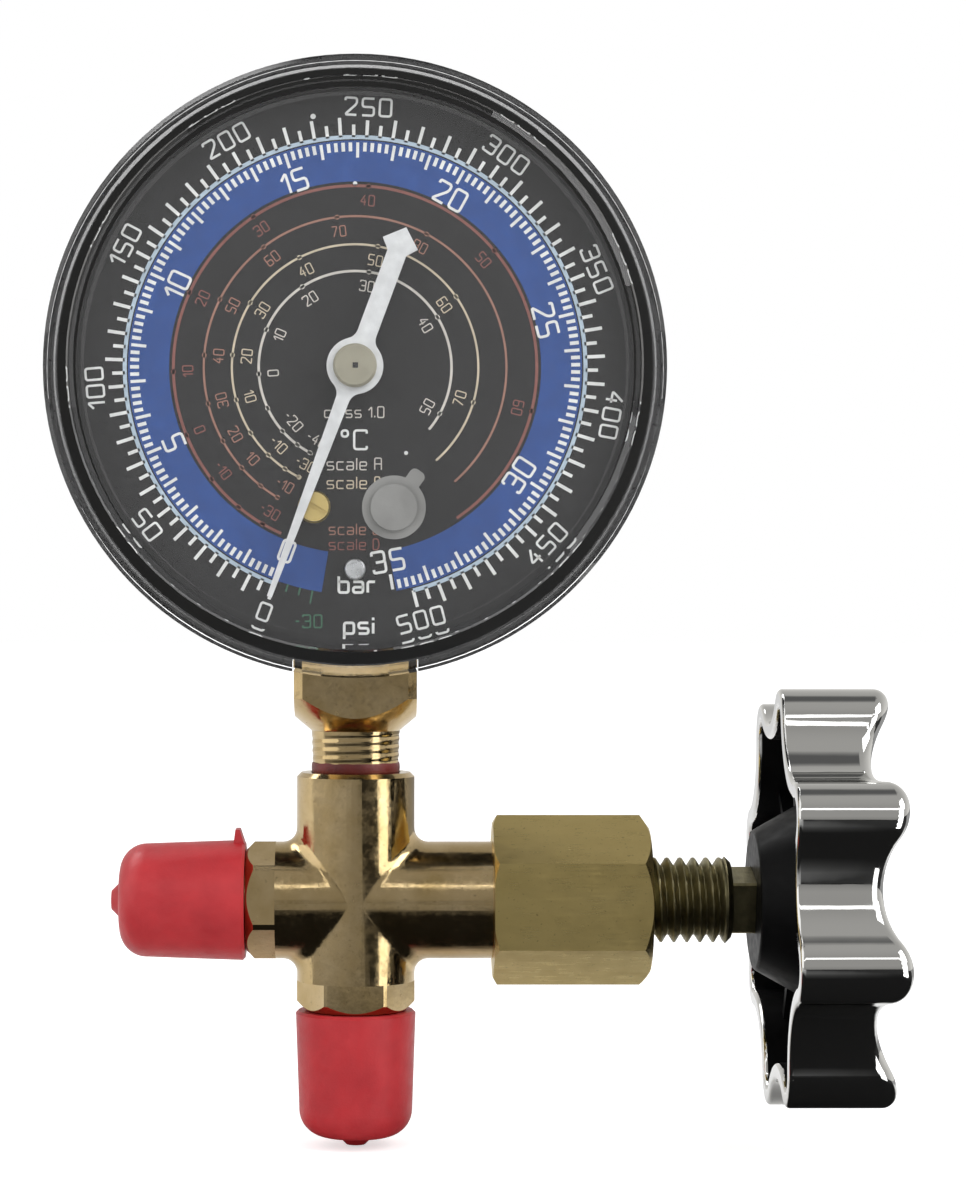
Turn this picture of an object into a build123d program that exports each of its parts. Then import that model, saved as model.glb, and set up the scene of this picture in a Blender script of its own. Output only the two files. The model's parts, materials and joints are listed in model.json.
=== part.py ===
from build123d import *
import math
import os

# Refrigerant manifold gauge. Millimetres, +Z up, the gauge faces -Y.
# The origin is the middle of the bottom port's end face.

# Brass cross
PORT_REACH = 26.0
ARM_RADIUS = 6.8
SIDE_ARM_RADIUS = 6.74
CROSS_FILLET = 1.6
TOP_ARM_LENGTH = 14.8
RIGHT_ARM_LENGTH = 15.8
RIM_CHAMFER = 0.5
FLATS_ACROSS = 12.0
FLATS_LENGTH = 3.4
SHOULDER_CHAMFER = 1.0
BOTTOM_FLATS_TURN = 0.0
LEFT_FLATS_TURN = -8.0

# Flare ports
PORT_SHOULDER = 12.6
PORT_THREAD_RADIUS = 5.55
PORT_GROOVE_RADIUS = 4.75
PORT_GROOVE_LENGTH = 1.1
PORT_CONE_RADIUS = 4.9
PORT_CONE_LENGTH = 2.2
PORT_BORE_RADIUS = 2.4
PORT_BORE_DEPTH = 14.0
PASSAGE_RADIUS = 2.0

# Dust caps
CAP_RIM_GAP = 0.1
CAP_THREAD_GAP = 0.12
CAP_WALL = 1.25
CAP_END_GAP = 0.2
CAP_FLOOR = 1.0
CAP_FLOOR_NARROWING = 1.45
CAP_DRAFT = 0.5
CAP_END_ROUND = 3.1
CAP_NUB_RADIUS = 2.1
CAP_NUB_HEIGHT = 1.0
CAP_NUB_BEVEL = 0.5
CAP_BEVEL = 0.3
CAP_LIP_HEIGHT = 1.3
CAP_LIP_LENGTH = 1.4
CAP_LIP_WIDTH = 3.4
CAP_LIP_EDGE = 0.5
LEFT_LIP_TURN = 180.0
BOTTOM_LIP_TURN = 90.0

# Valve chamber, seat, spigot and bonnet
SEAT_DEPTH = 2.5
CHAMBER_RADIUS = 4.0
SPIGOT_RADIUS = 5.95
SPIGOT_LENGTH = 6.2
BONNET_ACROSS = 17.0
BONNET_LENGTH = 18.0
BONNET_FACE_INSET = 0.1
BONNET_CHAMFER_ANGLE = 36.0
BONNET_BACK_CHAMFER = 0.9
BONNET_BACK_ANGLE = 30.0
BONNET_GAP = 0.1
GASKET_THICKNESS = 0.6
GASKET_BORE = 4.2

# Valve stem, thread lead and opening
STEM_RADIUS = 5.0
STEM_GAP = 0.1
STEM_SHOULDER = 43.2
STEM_THREAD_LENGTH = 15.8
STEM_CHAMFER = 0.6
NOSE_RADIUS = 2.0
NOSE_HEAD_RADIUS = 2.6
NOSE_HEAD_LENGTH = 2.8
TANG_ACROSS = 6.1
TANG_CORNER_RADIUS = 4.15
TANG_GAP = 0.06
VALVE_OPENING = 4.55

# Piston
PISTON_GAP = 0.05
PISTON_NECK_RADIUS = 3.3
PISTON_NECK_LENGTH = 8.8
PISTON_HEAD_LENGTH = 9.2
PISTON_LIP = 1.6
SWIVEL_GAP = 0.1
SEAL_RADIUS = 2.85
SEAL_THICKNESS = 1.6
SEAL_STANDS_OUT = 0.25
RING_SECTION = 0.43
RING_GROOVE_WIDTH = 1.1
RING_SPACING = 2.0

# Handwheel
LOBES = 8
KNOB_RADIUS = 25.2
LOBE_DEPTH = 4.6
LOBE_ROUND = 4.0
KNOB_TURN = 14.5
KNOB_BACK = 48.1
KNOB_FRONT = 61.9
DISH_RADIUS = 41.0
KNOB_WALL = 2.0
KNOB_EDGE_ROUND = 1.5
KNOB_BACK_ROUND = 0.5
HUB_BACK = 45.9
HUB_BACK_RADIUS = 8.0
HUB_FRONT_RADIUS = 12.0
HUB_ROUND = 0.5
RIB_THICKNESS = 1.2
RIB_INSET = 2.8
SCREW_SEAT_RADIUS = 5.8
SCREW_SEAT_DEPTH = 0.4
WASHER_RADIUS = 5.2
WASHER_THICKNESS = 0.8
KNOB_SCREW_RADIUS = 2.0
KNOB_SCREW_HEAD_RADIUS = 3.6
KNOB_SCREW_HEAD_HEIGHT = 2.3
KNOB_SCREW_LENGTH = 8.5
KNOB_SCREW_TIP_GAP = 0.5
TANG_SHORT = 0.4

# Gauge socket
SOCKET_THREAD_RADIUS = 5.1
SOCKET_THREAD_TAPER = 1 / 32
SOCKET_ENGAGEMENT = 7.6
SOCKET_THREAD_VISIBLE = 4.8
SOCKET_NECK_HEIGHT = 1.6
BLOCK_WIDTH = 14.0
BLOCK_BEVEL = 1.0
BLOCK_BELOW_CASE = 7.1
BLOCK_ABOVE_TUBE = 5.0
TONGUE_WIDTH = 12.0
TONGUE_HEIGHT = 5.0
TONGUE_THICKNESS = 4.4
SOCKET_BORE_RADIUS = 1.5
SEALANT_HEIGHT = 1.3
SEALANT_THICKNESS = 0.25
DIAL_BOSS_RADIUS = 2.6

# Gauge case
CASE_RADIUS = 32.4
CASE_WALL = 0.8
CASE_BACK = 7.8
CASE_CORNER = 2.0
CASE_RIM_FRONT = -11.8
CASE_FLANGE_REACH = 1.0
CASE_FLANGE_THICKNESS = 1.0
CASE_BEAD_THICKNESS = 1.0
CASE_NOTCH_WIDTH = 8.4
CASE_OPENING_HEIGHT = 4.0
CASE_OPENING_GAP = 0.1
CORNER_SHARE = 0.3
CASE_SCREW_OFFSET = 4.2
CASE_SCREW_FROM_EDGE = 7.4
CASE_SCREW_RADIUS = 1.45
CASE_SCREW_HEAD_RADIUS = 2.7
CASE_SCREW_HEAD_HEIGHT = 1.6
CASE_SCREW_LENGTH = 3.4
SCREW_GAP = 0.05

# Clear cover
COVER_GAP = 0.2
COVER_SKIRT = 1.1
COVER_FRONT = -18.0
COVER_SHOULDER = 2.9
COVER_WALL = 1.6
COVER_EDGE_ROUND = 0.9
COVER_BEVEL = 0.5
COVER_SKIRT_CLEARANCE = 0.4
LUGS = 4
LUG_WIDTH = 7.4
LUG_LENGTH = 2.0
LUG_REACH = 0.9
LUG_RECESS = 0.3
COVER_GASKET_THICKNESS = 0.6
COVER_GASKET_WIDTH = 2.2

# Dial
DIAL_EDGE_GAP = 0.4
DIAL_FRONT = -10.5
DIAL_THICKNESS = 0.5
DIAL_CENTRE_HOLE = 1.9
DIAL_SCREW_ABOVE_TUBE = 1.4
DIAL_SCREW_RADIUS = 0.95
DIAL_SCREW_HEAD_RADIUS = 1.2
DIAL_SCREW_HEAD_HEIGHT = 0.6
DIAL_SCREW_LENGTH = 3.6

# Pointer, its bush and the turning screw and plug
POINTER_FRONT = -13.2
POINTER_THICKNESS = 0.4
POINTER_REST = 20.35
POINTER_SHORT_OF_EDGE = 3.8
POINTER_DISC_RADIUS = 3.16
POINTER_ROOT_HALF = 0.86
POINTER_ROOT_ROUND = 1.5
POINTER_TIP_HALF = 0.28
TAIL_LENGTH = 16.4
TAIL_HEAD_LENGTH = 1.9
TAIL_NECK_LENGTH = 1.1
TAIL_HEAD_HALF = 2.07
TAIL_HALF = 1.1
BUSH_RADIUS = 2.43
BUSH_NECK_RADIUS = 1.5
BUSH_HEAD_HEIGHT = 0.9
BUSH_LENGTH = 2.2
BUSH_BEVEL = 0.25
CAL_SCREW_X = -4.6
CAL_SCREW_ABOVE_MOVEMENT_SCREWS = 1.4
CAL_SCREW_HEAD_RADIUS = 1.65
CAL_SCREW_HEAD_HEIGHT = 2.0
CAL_SCREW_STANDS_OUT = 0.7
CAL_SCREW_SHANK_RADIUS = 1.0
CAL_SCREW_LENGTH = 2.6
CAL_SLOT_WIDTH = 0.55
CAL_SLOT_DEPTH = 0.6
CAL_SLOT_TURN = 30.0
PLUG_X = 4.3
PLUG_BELOW = 15.9
PLUG_FLANGE_RADIUS = 3.5
PLUG_FLANGE_THICKNESS = 0.7
PLUG_BUTTON_RADIUS = 2.55
PLUG_BUTTON_HEIGHT = 0.5
PLUG_SHANK_RADIUS = 2.4
PLUG_SHANK_LENGTH = 2.0
PLUG_TAB_REACH = 4.9
PLUG_TAB_WIDTH = 1.8
PLUG_TAB_ANGLE = 54.0

# Movement
PINION_PITCH = 1.32
PINION_TEETH = 12
SECTOR_WHOLE_TEETH = 120
SECTOR_TEETH_BEFORE = 2
SECTOR_TEETH_AFTER = 12
PRESSURE_ANGLE = 20.0
ADDENDUM = 0.8
DEDENDUM = 1.2
BACKLASH = 0.05
SECTOR_DIRECTION = -35.0
PLATE_THICKNESS = 0.8
BACK_PLATE_FRONT = -2.2
FRONT_PLATE_FRONT = -8.2
PLATE_MARGIN = 1.9
PILLAR_RADIUS = 1.3
PILLAR_NECK_RADIUS = 0.8
LEFT_PILLAR = (-6.0, 4.0)
RIGHT_PILLAR = (14.0, 1.6)
LOW_PILLAR_X = 1.5
LOW_PILLAR_ABOVE_MOVEMENT_SCREWS = 2.0
ARBOR_RADIUS = 0.6
BEARING_GAP = 0.04
PINION_BACK = -3.8
PINION_LENGTH = 1.8
COLLET_RADIUS = 1.2
COLLET_BACK = -6.0
COLLET_LENGTH = 1.1
SECTOR_BACK = -4.2
SECTOR_THICKNESS = 1.0
SECTOR_HUB_RADIUS = 2.4
SECTOR_RIM = 1.8
SECTOR_SPOKE_HALF = 1.0
TAIL_LEVER_LENGTH = 6.5
TAIL_LEVER_ROUND = 1.6
LINK_BACK = -5.7
LINK_THICKNESS = 0.9
LINK_ROUND = 1.5
PIN_RADIUS = 0.6
PIN_HEAD_RADIUS = 1.0
PIN_HEAD_HEIGHT = 0.5
SPRING_COIL_PITCH = 0.76
SPRING_HALF_TURNS = 11
SPRING_STRIP = 0.14
SPRING_WIDTH = 0.7
SPRING_BACK = -6.2
MOVEMENT_SCREW_OFFSET = 4.6
MOVEMENT_SCREW_ABOVE_BLOCK = 2.0
MOVEMENT_SCREW_RADIUS = 0.95
MOVEMENT_SCREW_HEAD_RADIUS = 1.6
MOVEMENT_SCREW_HEAD_HEIGHT = 0.9
MOVEMENT_SCREW_LENGTH = 3.6

# Pressure tube
TUBE_RADIUS = 24.0
TUBE_DEPTH = 8.0
TUBE_THICKNESS = 2.6
TUBE_SHEET = 0.35
TUBE_START = 262.0
TUBE_END = -8.0
TUBE_SOLDER_GAP = 0.04
TUBE_FREE_AFTER = 22.0
TIP_SWEEP = 9.0
TIP_EXTRA = 0.4
TIP_BOSS_RADIUS = 2.0
TIP_PIN_SHARE = 0.5

# Worked out from the above
CROSS_Z = PORT_REACH
BONNET_START = RIGHT_ARM_LENGTH
BONNET_END = BONNET_START + BONNET_LENGTH
SPIGOT_END = RIGHT_ARM_LENGTH + SPIGOT_LENGTH
PISTON_TIP = VALVE_OPENING - SEAT_DEPTH
PISTON_HEAD_START = PISTON_TIP + SEAL_STANDS_OUT + PISTON_NECK_LENGTH
PISTON_BACK = PISTON_HEAD_START + PISTON_HEAD_LENGTH
NOSE_HEAD_END = PISTON_BACK - PISTON_LIP - SWIVEL_GAP
NOSE_TIP = NOSE_HEAD_END - NOSE_HEAD_LENGTH
VALLEY_RADIUS = KNOB_RADIUS - LOBE_DEPTH
DISH_CENTRE = KNOB_FRONT + math.sqrt(DISH_RADIUS**2 - KNOB_RADIUS**2)
DISH_BOTTOM = DISH_CENTRE - DISH_RADIUS
SCREW_SEAT = DISH_BOTTOM - SCREW_SEAT_DEPTH
TANG_END = SCREW_SEAT - TANG_SHORT
BLOCK_HALF = BLOCK_WIDTH / 2
SOCKET_BASE = CROSS_Z + TOP_ARM_LENGTH
BLOCK_BOTTOM = SOCKET_BASE + SOCKET_THREAD_VISIBLE + SOCKET_NECK_HEIGHT
DIAL_Z = BLOCK_BOTTOM + BLOCK_BELOW_CASE + CASE_RADIUS
BLOCK_TOP = DIAL_Z - TUBE_RADIUS + BLOCK_ABOVE_TUBE
MOVEMENT_SCREW_BELOW = TUBE_RADIUS - BLOCK_ABOVE_TUBE - MOVEMENT_SCREW_ABOVE_BLOCK
CASE_SCREW_BELOW = CASE_RADIUS - CASE_SCREW_FROM_EDGE
CAL_SCREW_BELOW = MOVEMENT_SCREW_BELOW - CAL_SCREW_ABOVE_MOVEMENT_SCREWS
CASE_FLANGE_RADIUS = CASE_RADIUS + CASE_FLANGE_REACH
COVER_RADIUS = CASE_FLANGE_RADIUS + COVER_GAP + COVER_SKIRT
COVER_WINDOW_RADIUS = COVER_RADIUS - COVER_SHOULDER
DIAL_RADIUS = CASE_RADIUS - CASE_WALL - DIAL_EDGE_GAP
DIAL_SCREW_BELOW = TUBE_RADIUS - DIAL_SCREW_ABOVE_TUBE
POINTER_LENGTH = DIAL_RADIUS - POINTER_SHORT_OF_EDGE
BACK_PLATE_BACK = BACK_PLATE_FRONT + PLATE_THICKNESS
DIAL_BACK = DIAL_FRONT + DIAL_THICKNESS
COVER_INSIDE = COVER_FRONT + COVER_WALL
COVER_SKIRT_BACK = -BLOCK_HALF - COVER_SKIRT_CLEARANCE
GASKET_FRONT = CASE_RIM_FRONT - COVER_GASKET_THICKNESS
MODULE = 2 * PINION_PITCH / PINION_TEETH
SECTOR_PITCH = MODULE * SECTOR_WHOLE_TEETH / 2
CENTRES = PINION_PITCH + SECTOR_PITCH

TURNS = {"X": Rot(0, 90, 0), "Y": Rot(-90, 0, 0), "Z": Rot(0, 0, 0)}
ON_AXIS = (Align.CENTER, Align.CENTER, Align.MIN)


def start_point(low, along, at):
    """The point on a line along one axis, with at on the other two axes in X, Y, Z order."""
    first, second = at
    return {"X": (low, first, second), "Y": (first, low, second), "Z": (first, second, low)}[along]


def rod(radius, low, high, along, at):
    """A cylinder along one axis from low to high."""
    return Pos(*start_point(low, along, at)) * TURNS[along] * Cylinder(radius, high - low, align=ON_AXIS)


def ring(outer, inner, low, high, along, at):
    """A tube along one axis."""
    return rod(outer, low, high, along, at) - rod(inner, low - 1, high + 1, along, at)


def turned(profile, along, at):
    """A turned solid from (place along the axis, radius) corners."""
    corners = [(radius, place) for place, radius in profile]
    face = make_face(Plane.XZ * Polyline(*corners, close=True))
    return Pos(*start_point(0, along, at)) * TURNS[along] * revolve(face, Axis.Z)


def hexagon(across, low, high, along, at, turn):
    """A hexagonal bar along one axis."""
    outline = RegularPolygon(across / 2, 6, major_radius=False, rotation=turn)
    bar = extrude(outline, high - low)
    return Pos(*start_point(low, along, at)) * TURNS[along] * bar


def block(low_corner, high_corner):
    """A box between two corners."""
    size = [high - low for low, high in zip(low_corner, high_corner)]
    return Pos(*low_corner) * Box(*size, align=(Align.MIN, Align.MIN, Align.MIN))


def polar(radius, degrees):
    """A point at a radius and an angle."""
    return (radius * math.cos(math.radians(degrees)), radius * math.sin(math.radians(degrees)))


def dial_plane(depth):
    """A plane that faces forward, with its middle on the dial's axis and X and Y as seen from the front."""
    return Plane(origin=(0, depth, DIAL_Z), x_dir=(1, 0, 0), z_dir=(0, -1, 0))


def plate(face, back, thickness):
    """A flat piece from a face drawn as seen from the front, from its back towards the front."""
    return extrude(dial_plane(back) * face, thickness)


def dial_rod(radius, front, back, place):
    """A cylinder along Y at a place given from the dial's middle."""
    return rod(radius, front, back, "Y", (place[0], DIAL_Z + place[1]))


def sector_place(distance, degrees):
    """A place from the dial's middle, given from the sector's pivot."""
    pivot = polar(CENTRES, SECTOR_DIRECTION)
    step = polar(distance, degrees)
    return (pivot[0] + step[0], pivot[1] + step[1])


LOW_PILLAR = (LOW_PILLAR_X, -MOVEMENT_SCREW_BELOW + LOW_PILLAR_ABOVE_MOVEMENT_SCREWS)
PILLARS = (LEFT_PILLAR, RIGHT_PILLAR, LOW_PILLAR)
SECTOR_PIVOT = sector_place(0, 0)
TAIL_PIN = sector_place(TAIL_LEVER_LENGTH, SECTOR_DIRECTION)
TIP_PIN = polar(TUBE_RADIUS, TUBE_END - TIP_SWEEP * TIP_PIN_SHARE)
DIAL_SCREW_PLACE = (0, -DIAL_SCREW_BELOW)
CAL_SCREW_PLACE = (CAL_SCREW_X, -CAL_SCREW_BELOW)
PLUG_PLACE = (PLUG_X, -PLUG_BELOW)
MOVEMENT_SCREW_PLACES = [(side * MOVEMENT_SCREW_OFFSET, -MOVEMENT_SCREW_BELOW) for side in (-1, 1)]
CASE_SCREW_PLACES = [(side * CASE_SCREW_OFFSET, -CASE_SCREW_BELOW) for side in (-1, 1)]


def port_outside(along, at):
    """The outside of a flare port, from the arm's shoulder to the end face at low values."""
    end = PORT_REACH
    thread_end = end - PORT_CONE_LENGTH
    chamfer = PORT_THREAD_RADIUS - PORT_CONE_RADIUS
    profile = [
        (0, 0),
        (0, PORT_GROOVE_RADIUS),
        (PORT_SHOULDER + PORT_GROOVE_LENGTH, PORT_GROOVE_RADIUS),
        (PORT_SHOULDER + PORT_GROOVE_LENGTH, PORT_THREAD_RADIUS),
        (thread_end - chamfer, PORT_THREAD_RADIUS),
        (thread_end, PORT_CONE_RADIUS),
        (end, PORT_CONE_RADIUS - PORT_CONE_LENGTH),
        (end, 0),
    ]
    mirrored = [(-place, radius) for place, radius in profile]
    return turned(mirrored, along, at)


def make_body():
    """The brass cross, drawn about its own middle and lifted into place."""
    middle = (0, 0)
    upright = rod(ARM_RADIUS, -PORT_SHOULDER, TOP_ARM_LENGTH, "Z", middle)
    across = rod(SIDE_ARM_RADIUS, -PORT_SHOULDER, RIGHT_ARM_LENGTH, "X", middle)
    body = upright + across
    joints = [edge for edge in body.edges() if is_crossing(edge, ARM_RADIUS + 1)]
    body = fillet(joints, CROSS_FILLET)
    body = body - flats_waste("Z", middle, BOTTOM_FLATS_TURN) - flats_waste("X", middle, LEFT_FLATS_TURN)
    body = body + port_outside("Z", middle) + port_outside("X", middle)
    body = body + rod(SPIGOT_RADIUS, 0, SPIGOT_END, "X", middle)
    body = body - rim_waste()
    body = body - bores()
    return Pos(0, 0, CROSS_Z) * body


def is_crossing(edge, reach):
    """Whether an edge lies where the upright arm meets the side arms."""
    box = edge.bounding_box()
    corners = (box.min.X, box.max.X, box.min.Z, box.max.Z)
    return all(abs(value) < reach for value in corners)


def flats_waste(along, at, turn):
    """What is milled off an arm to leave the hexagonal flats behind a port."""
    low = -PORT_SHOULDER - 1
    high = -PORT_SHOULDER + FLATS_LENGTH
    stock = rod(2 * ARM_RADIUS, low, high, along, at)
    chamfer_top = ARM_RADIUS + SHOULDER_CHAMFER
    profile = [
        (-PORT_SHOULDER, 0),
        (-PORT_SHOULDER, ARM_RADIUS - SHOULDER_CHAMFER),
        (-PORT_SHOULDER + 2 * SHOULDER_CHAMFER, chamfer_top),
        (high + 1, chamfer_top),
        (high + 1, 0),
    ]
    left = hexagon(FLATS_ACROSS, low - 1, high + 1, along, at, turn) & turned(profile, along, at)
    return stock - left


def rim_waste():
    """The chamfer round the top arm's rim."""
    top = TOP_ARM_LENGTH
    profile = [
        (top - RIM_CHAMFER, ARM_RADIUS),
        (top, ARM_RADIUS - RIM_CHAMFER),
        (top + 1, ARM_RADIUS - RIM_CHAMFER),
        (top + 1, ARM_RADIUS + 1),
        (top - RIM_CHAMFER, ARM_RADIUS + 1),
    ]
    return turned(profile, "Z", (0, 0))


def bores():
    """The passages inside the cross."""
    middle = (0, 0)
    bore_end = -PORT_REACH + PORT_BORE_DEPTH
    waste = rod(PORT_BORE_RADIUS, -PORT_REACH - 1, bore_end, "Z", middle)
    waste += rod(PORT_BORE_RADIUS, -PORT_REACH - 1, bore_end, "X", middle)
    waste += rod(PASSAGE_RADIUS, bore_end - 1, TOP_ARM_LENGTH - SOCKET_ENGAGEMENT, "Z", middle)
    waste += rod(PASSAGE_RADIUS, bore_end - 1, 0, "X", middle)
    waste += rod(CHAMBER_RADIUS, -SEAT_DEPTH, SPIGOT_END + 1, "X", middle)
    tapped_radius = SOCKET_THREAD_RADIUS + BONNET_GAP
    tapped_bottom = TOP_ARM_LENGTH - SOCKET_ENGAGEMENT - PASSAGE_RADIUS / 2
    waste += rod(tapped_radius, tapped_bottom, TOP_ARM_LENGTH + 1, "Z", middle)
    return waste


def make_cap(along, lip_turn):
    """A dust cap over a flare port, drawn about the cross's middle with its closed end at low values."""
    open_end = -PORT_SHOULDER - CAP_RIM_GAP
    floor = -PORT_REACH - CAP_END_GAP
    closed_end = floor - CAP_FLOOR
    inside = PORT_THREAD_RADIUS + CAP_THREAD_GAP
    outside = inside + CAP_WALL
    nub_end = closed_end - CAP_NUB_HEIGHT
    outline = [
        (open_end, 0),
        (open_end, outside - CAP_BEVEL),
        (open_end - CAP_BEVEL, outside),
        (closed_end, outside - CAP_DRAFT),
        (closed_end, 0),
    ]
    solid = turned(outline, "Z", (0, 0))
    solid = fillet(solid.edges().sort_by(Axis.Z)[0], CAP_END_ROUND)
    nub = [
        (closed_end + CAP_FLOOR / 2, 0),
        (closed_end + CAP_FLOOR / 2, CAP_NUB_RADIUS),
        (closed_end, CAP_NUB_RADIUS),
        (nub_end + CAP_NUB_BEVEL, CAP_NUB_RADIUS - CAP_NUB_BEVEL),
        (nub_end, CAP_NUB_RADIUS - 2 * CAP_NUB_BEVEL),
        (nub_end, 0),
    ]
    hollow = [
        (open_end + 1, 0),
        (open_end + 1, inside),
        (floor + PORT_CONE_LENGTH, inside),
        (floor, inside - CAP_FLOOR_NARROWING),
        (floor, 0),
    ]
    shell = solid + turned(nub, "Z", (0, 0)) - turned(hollow, "Z", (0, 0))
    lip_root = outside - CAP_WALL / 2
    lip_top = outside + CAP_LIP_HEIGHT
    lip_corners = [
        (lip_root, 0),
        (lip_top, CAP_LIP_EDGE / 2),
        (lip_top, CAP_LIP_EDGE * 1.5),
        (lip_root, CAP_LIP_LENGTH),
    ]
    face = make_face(Plane.XZ * Polyline(*lip_corners, close=True))
    lip = extrude(face, CAP_LIP_WIDTH / 2, both=True)
    lip = Rot(0, 0, lip_turn) * Pos(0, 0, open_end - CAP_LIP_LENGTH) * lip
    return Pos(0, 0, CROSS_Z) * TURNS[along] * (shell + lip)


def make_left_cap():
    """The left port's dust cap, with its lip at the top."""
    return make_cap("X", LEFT_LIP_TURN)


def make_bottom_cap():
    """The bottom port's dust cap, with its lip at the back."""
    return make_cap("Z", BOTTOM_LIP_TURN)


def make_bonnet():
    """The hexagonal bonnet, chamfered more at its outer end."""
    at = (0, CROSS_Z)
    corner = BONNET_ACROSS / math.sqrt(3)
    back_chamfer = BONNET_BACK_CHAMFER * math.tan(math.radians(BONNET_BACK_ANGLE))
    front_radius = BONNET_ACROSS / 2 - BONNET_FACE_INSET
    front_chamfer = (corner - front_radius) * math.tan(math.radians(BONNET_CHAMFER_ANGLE))
    profile = [
        (BONNET_START, 0),
        (BONNET_START, corner - BONNET_BACK_CHAMFER),
        (BONNET_START + back_chamfer, corner),
        (BONNET_END - front_chamfer, corner),
        (BONNET_END, front_radius),
        (BONNET_END, 0),
    ]
    bonnet = hexagon(BONNET_ACROSS, BONNET_START, BONNET_END, "X", at, 0) & turned(profile, "X", at)
    shoulder = SPIGOT_END + GASKET_THICKNESS
    bonnet = bonnet - rod(SPIGOT_RADIUS + BONNET_GAP, BONNET_START - 1, shoulder, "X", at)
    bonnet = bonnet - rod(STEM_RADIUS + STEM_GAP, shoulder - 1, BONNET_END + 1, "X", at)
    return bonnet


def make_bonnet_gasket():
    """The washer that seals the bonnet on the spigot."""
    return ring(SPIGOT_RADIUS, GASKET_BORE, SPIGOT_END, SPIGOT_END + GASKET_THICKNESS, "X", (0, CROSS_Z))


def make_stem():
    """The stem: swivelling nose, threaded length and square tang with a tapped hole."""
    at = (0, CROSS_Z)
    thread_start = STEM_SHOULDER - STEM_THREAD_LENGTH
    profile = [
        (NOSE_TIP, 0),
        (NOSE_TIP, NOSE_HEAD_RADIUS),
        (NOSE_HEAD_END, NOSE_HEAD_RADIUS),
        (NOSE_HEAD_END, NOSE_RADIUS),
        (thread_start, NOSE_RADIUS),
        (thread_start, STEM_RADIUS - STEM_CHAMFER),
        (thread_start + STEM_CHAMFER, STEM_RADIUS),
        (STEM_SHOULDER - STEM_CHAMFER, STEM_RADIUS),
        (STEM_SHOULDER, STEM_RADIUS - STEM_CHAMFER),
        (STEM_SHOULDER, 0),
    ]
    stem = turned(profile, "X", at)
    tang = square_bar(TANG_ACROSS, STEM_SHOULDER - 1, TANG_END)
    tang = tang & rod(TANG_CORNER_RADIUS, STEM_SHOULDER - 1, TANG_END, "X", at)
    stem = stem + tang
    hole_end = SCREW_SEAT - KNOB_SCREW_LENGTH - KNOB_SCREW_TIP_GAP
    return stem - rod(KNOB_SCREW_RADIUS + SCREW_GAP, hole_end, TANG_END + 1, "X", at)


def square_bar(across, low, high):
    """A square bar on the valve's axis, turned with the handwheel."""
    bar = Rot(0, 0, KNOB_TURN) * Box(across, across, high - low, align=ON_AXIS)
    return Pos(low, 0, CROSS_Z) * TURNS["X"] * bar


def make_piston():
    """The floating piston with a pocket for its seal, two grooves and a socket for the stem's nose."""
    at = (0, CROSS_Z)
    front = PISTON_TIP + SEAL_STANDS_OUT
    head_radius = CHAMBER_RADIUS - PISTON_GAP
    profile = [
        (front, 0),
        (front, PISTON_NECK_RADIUS),
        (PISTON_HEAD_START, PISTON_NECK_RADIUS),
        (PISTON_HEAD_START, head_radius),
        (PISTON_BACK, head_radius),
        (PISTON_BACK, 0),
    ]
    piston = turned(profile, "X", at)
    piston = piston - rod(SEAL_RADIUS + SCREW_GAP, front - 1, PISTON_TIP + SEAL_THICKNESS, "X", at)
    floor = head_radius - 2 * RING_SECTION
    for middle in ring_places():
        low = middle - RING_GROOVE_WIDTH / 2
        high = middle + RING_GROOVE_WIDTH / 2
        piston = piston - ring(CHAMBER_RADIUS, floor, low, high, "X", at)
    piston = piston - rod(NOSE_HEAD_RADIUS + SWIVEL_GAP, NOSE_TIP, NOSE_HEAD_END + SWIVEL_GAP, "X", at)
    return piston - rod(NOSE_RADIUS + SWIVEL_GAP, NOSE_TIP, PISTON_BACK + 1, "X", at)


def ring_places():
    """Where the two sealing rings sit along the valve's axis."""
    first = PISTON_HEAD_START + RING_GROOVE_WIDTH
    return [first, first + RING_SPACING]


def make_piston_rings():
    """Two rubber rings, a hair smaller than the chamber."""
    radius = CHAMBER_RADIUS - PISTON_GAP / 2 - RING_SECTION
    rings = [Pos(place, 0, CROSS_Z) * TURNS["X"] * Torus(radius, RING_SECTION) for place in ring_places()]
    return Compound(children=rings)


def make_piston_seal():
    """The soft disc that closes on the seat."""
    return rod(SEAL_RADIUS, PISTON_TIP, PISTON_TIP + SEAL_THICKNESS, "X", (0, CROSS_Z))


def valley_round():
    """The radius of the hollow arcs that run tangent between the lobes."""
    lobe_centre = KNOB_RADIUS - LOBE_ROUND
    cosine = math.cos(math.pi / LOBES)
    top = LOBE_ROUND**2 - lobe_centre**2 - VALLEY_RADIUS**2 + 2 * lobe_centre * VALLEY_RADIUS * cosine
    return top / (2 * (VALLEY_RADIUS - lobe_centre * cosine - LOBE_ROUND))


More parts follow.
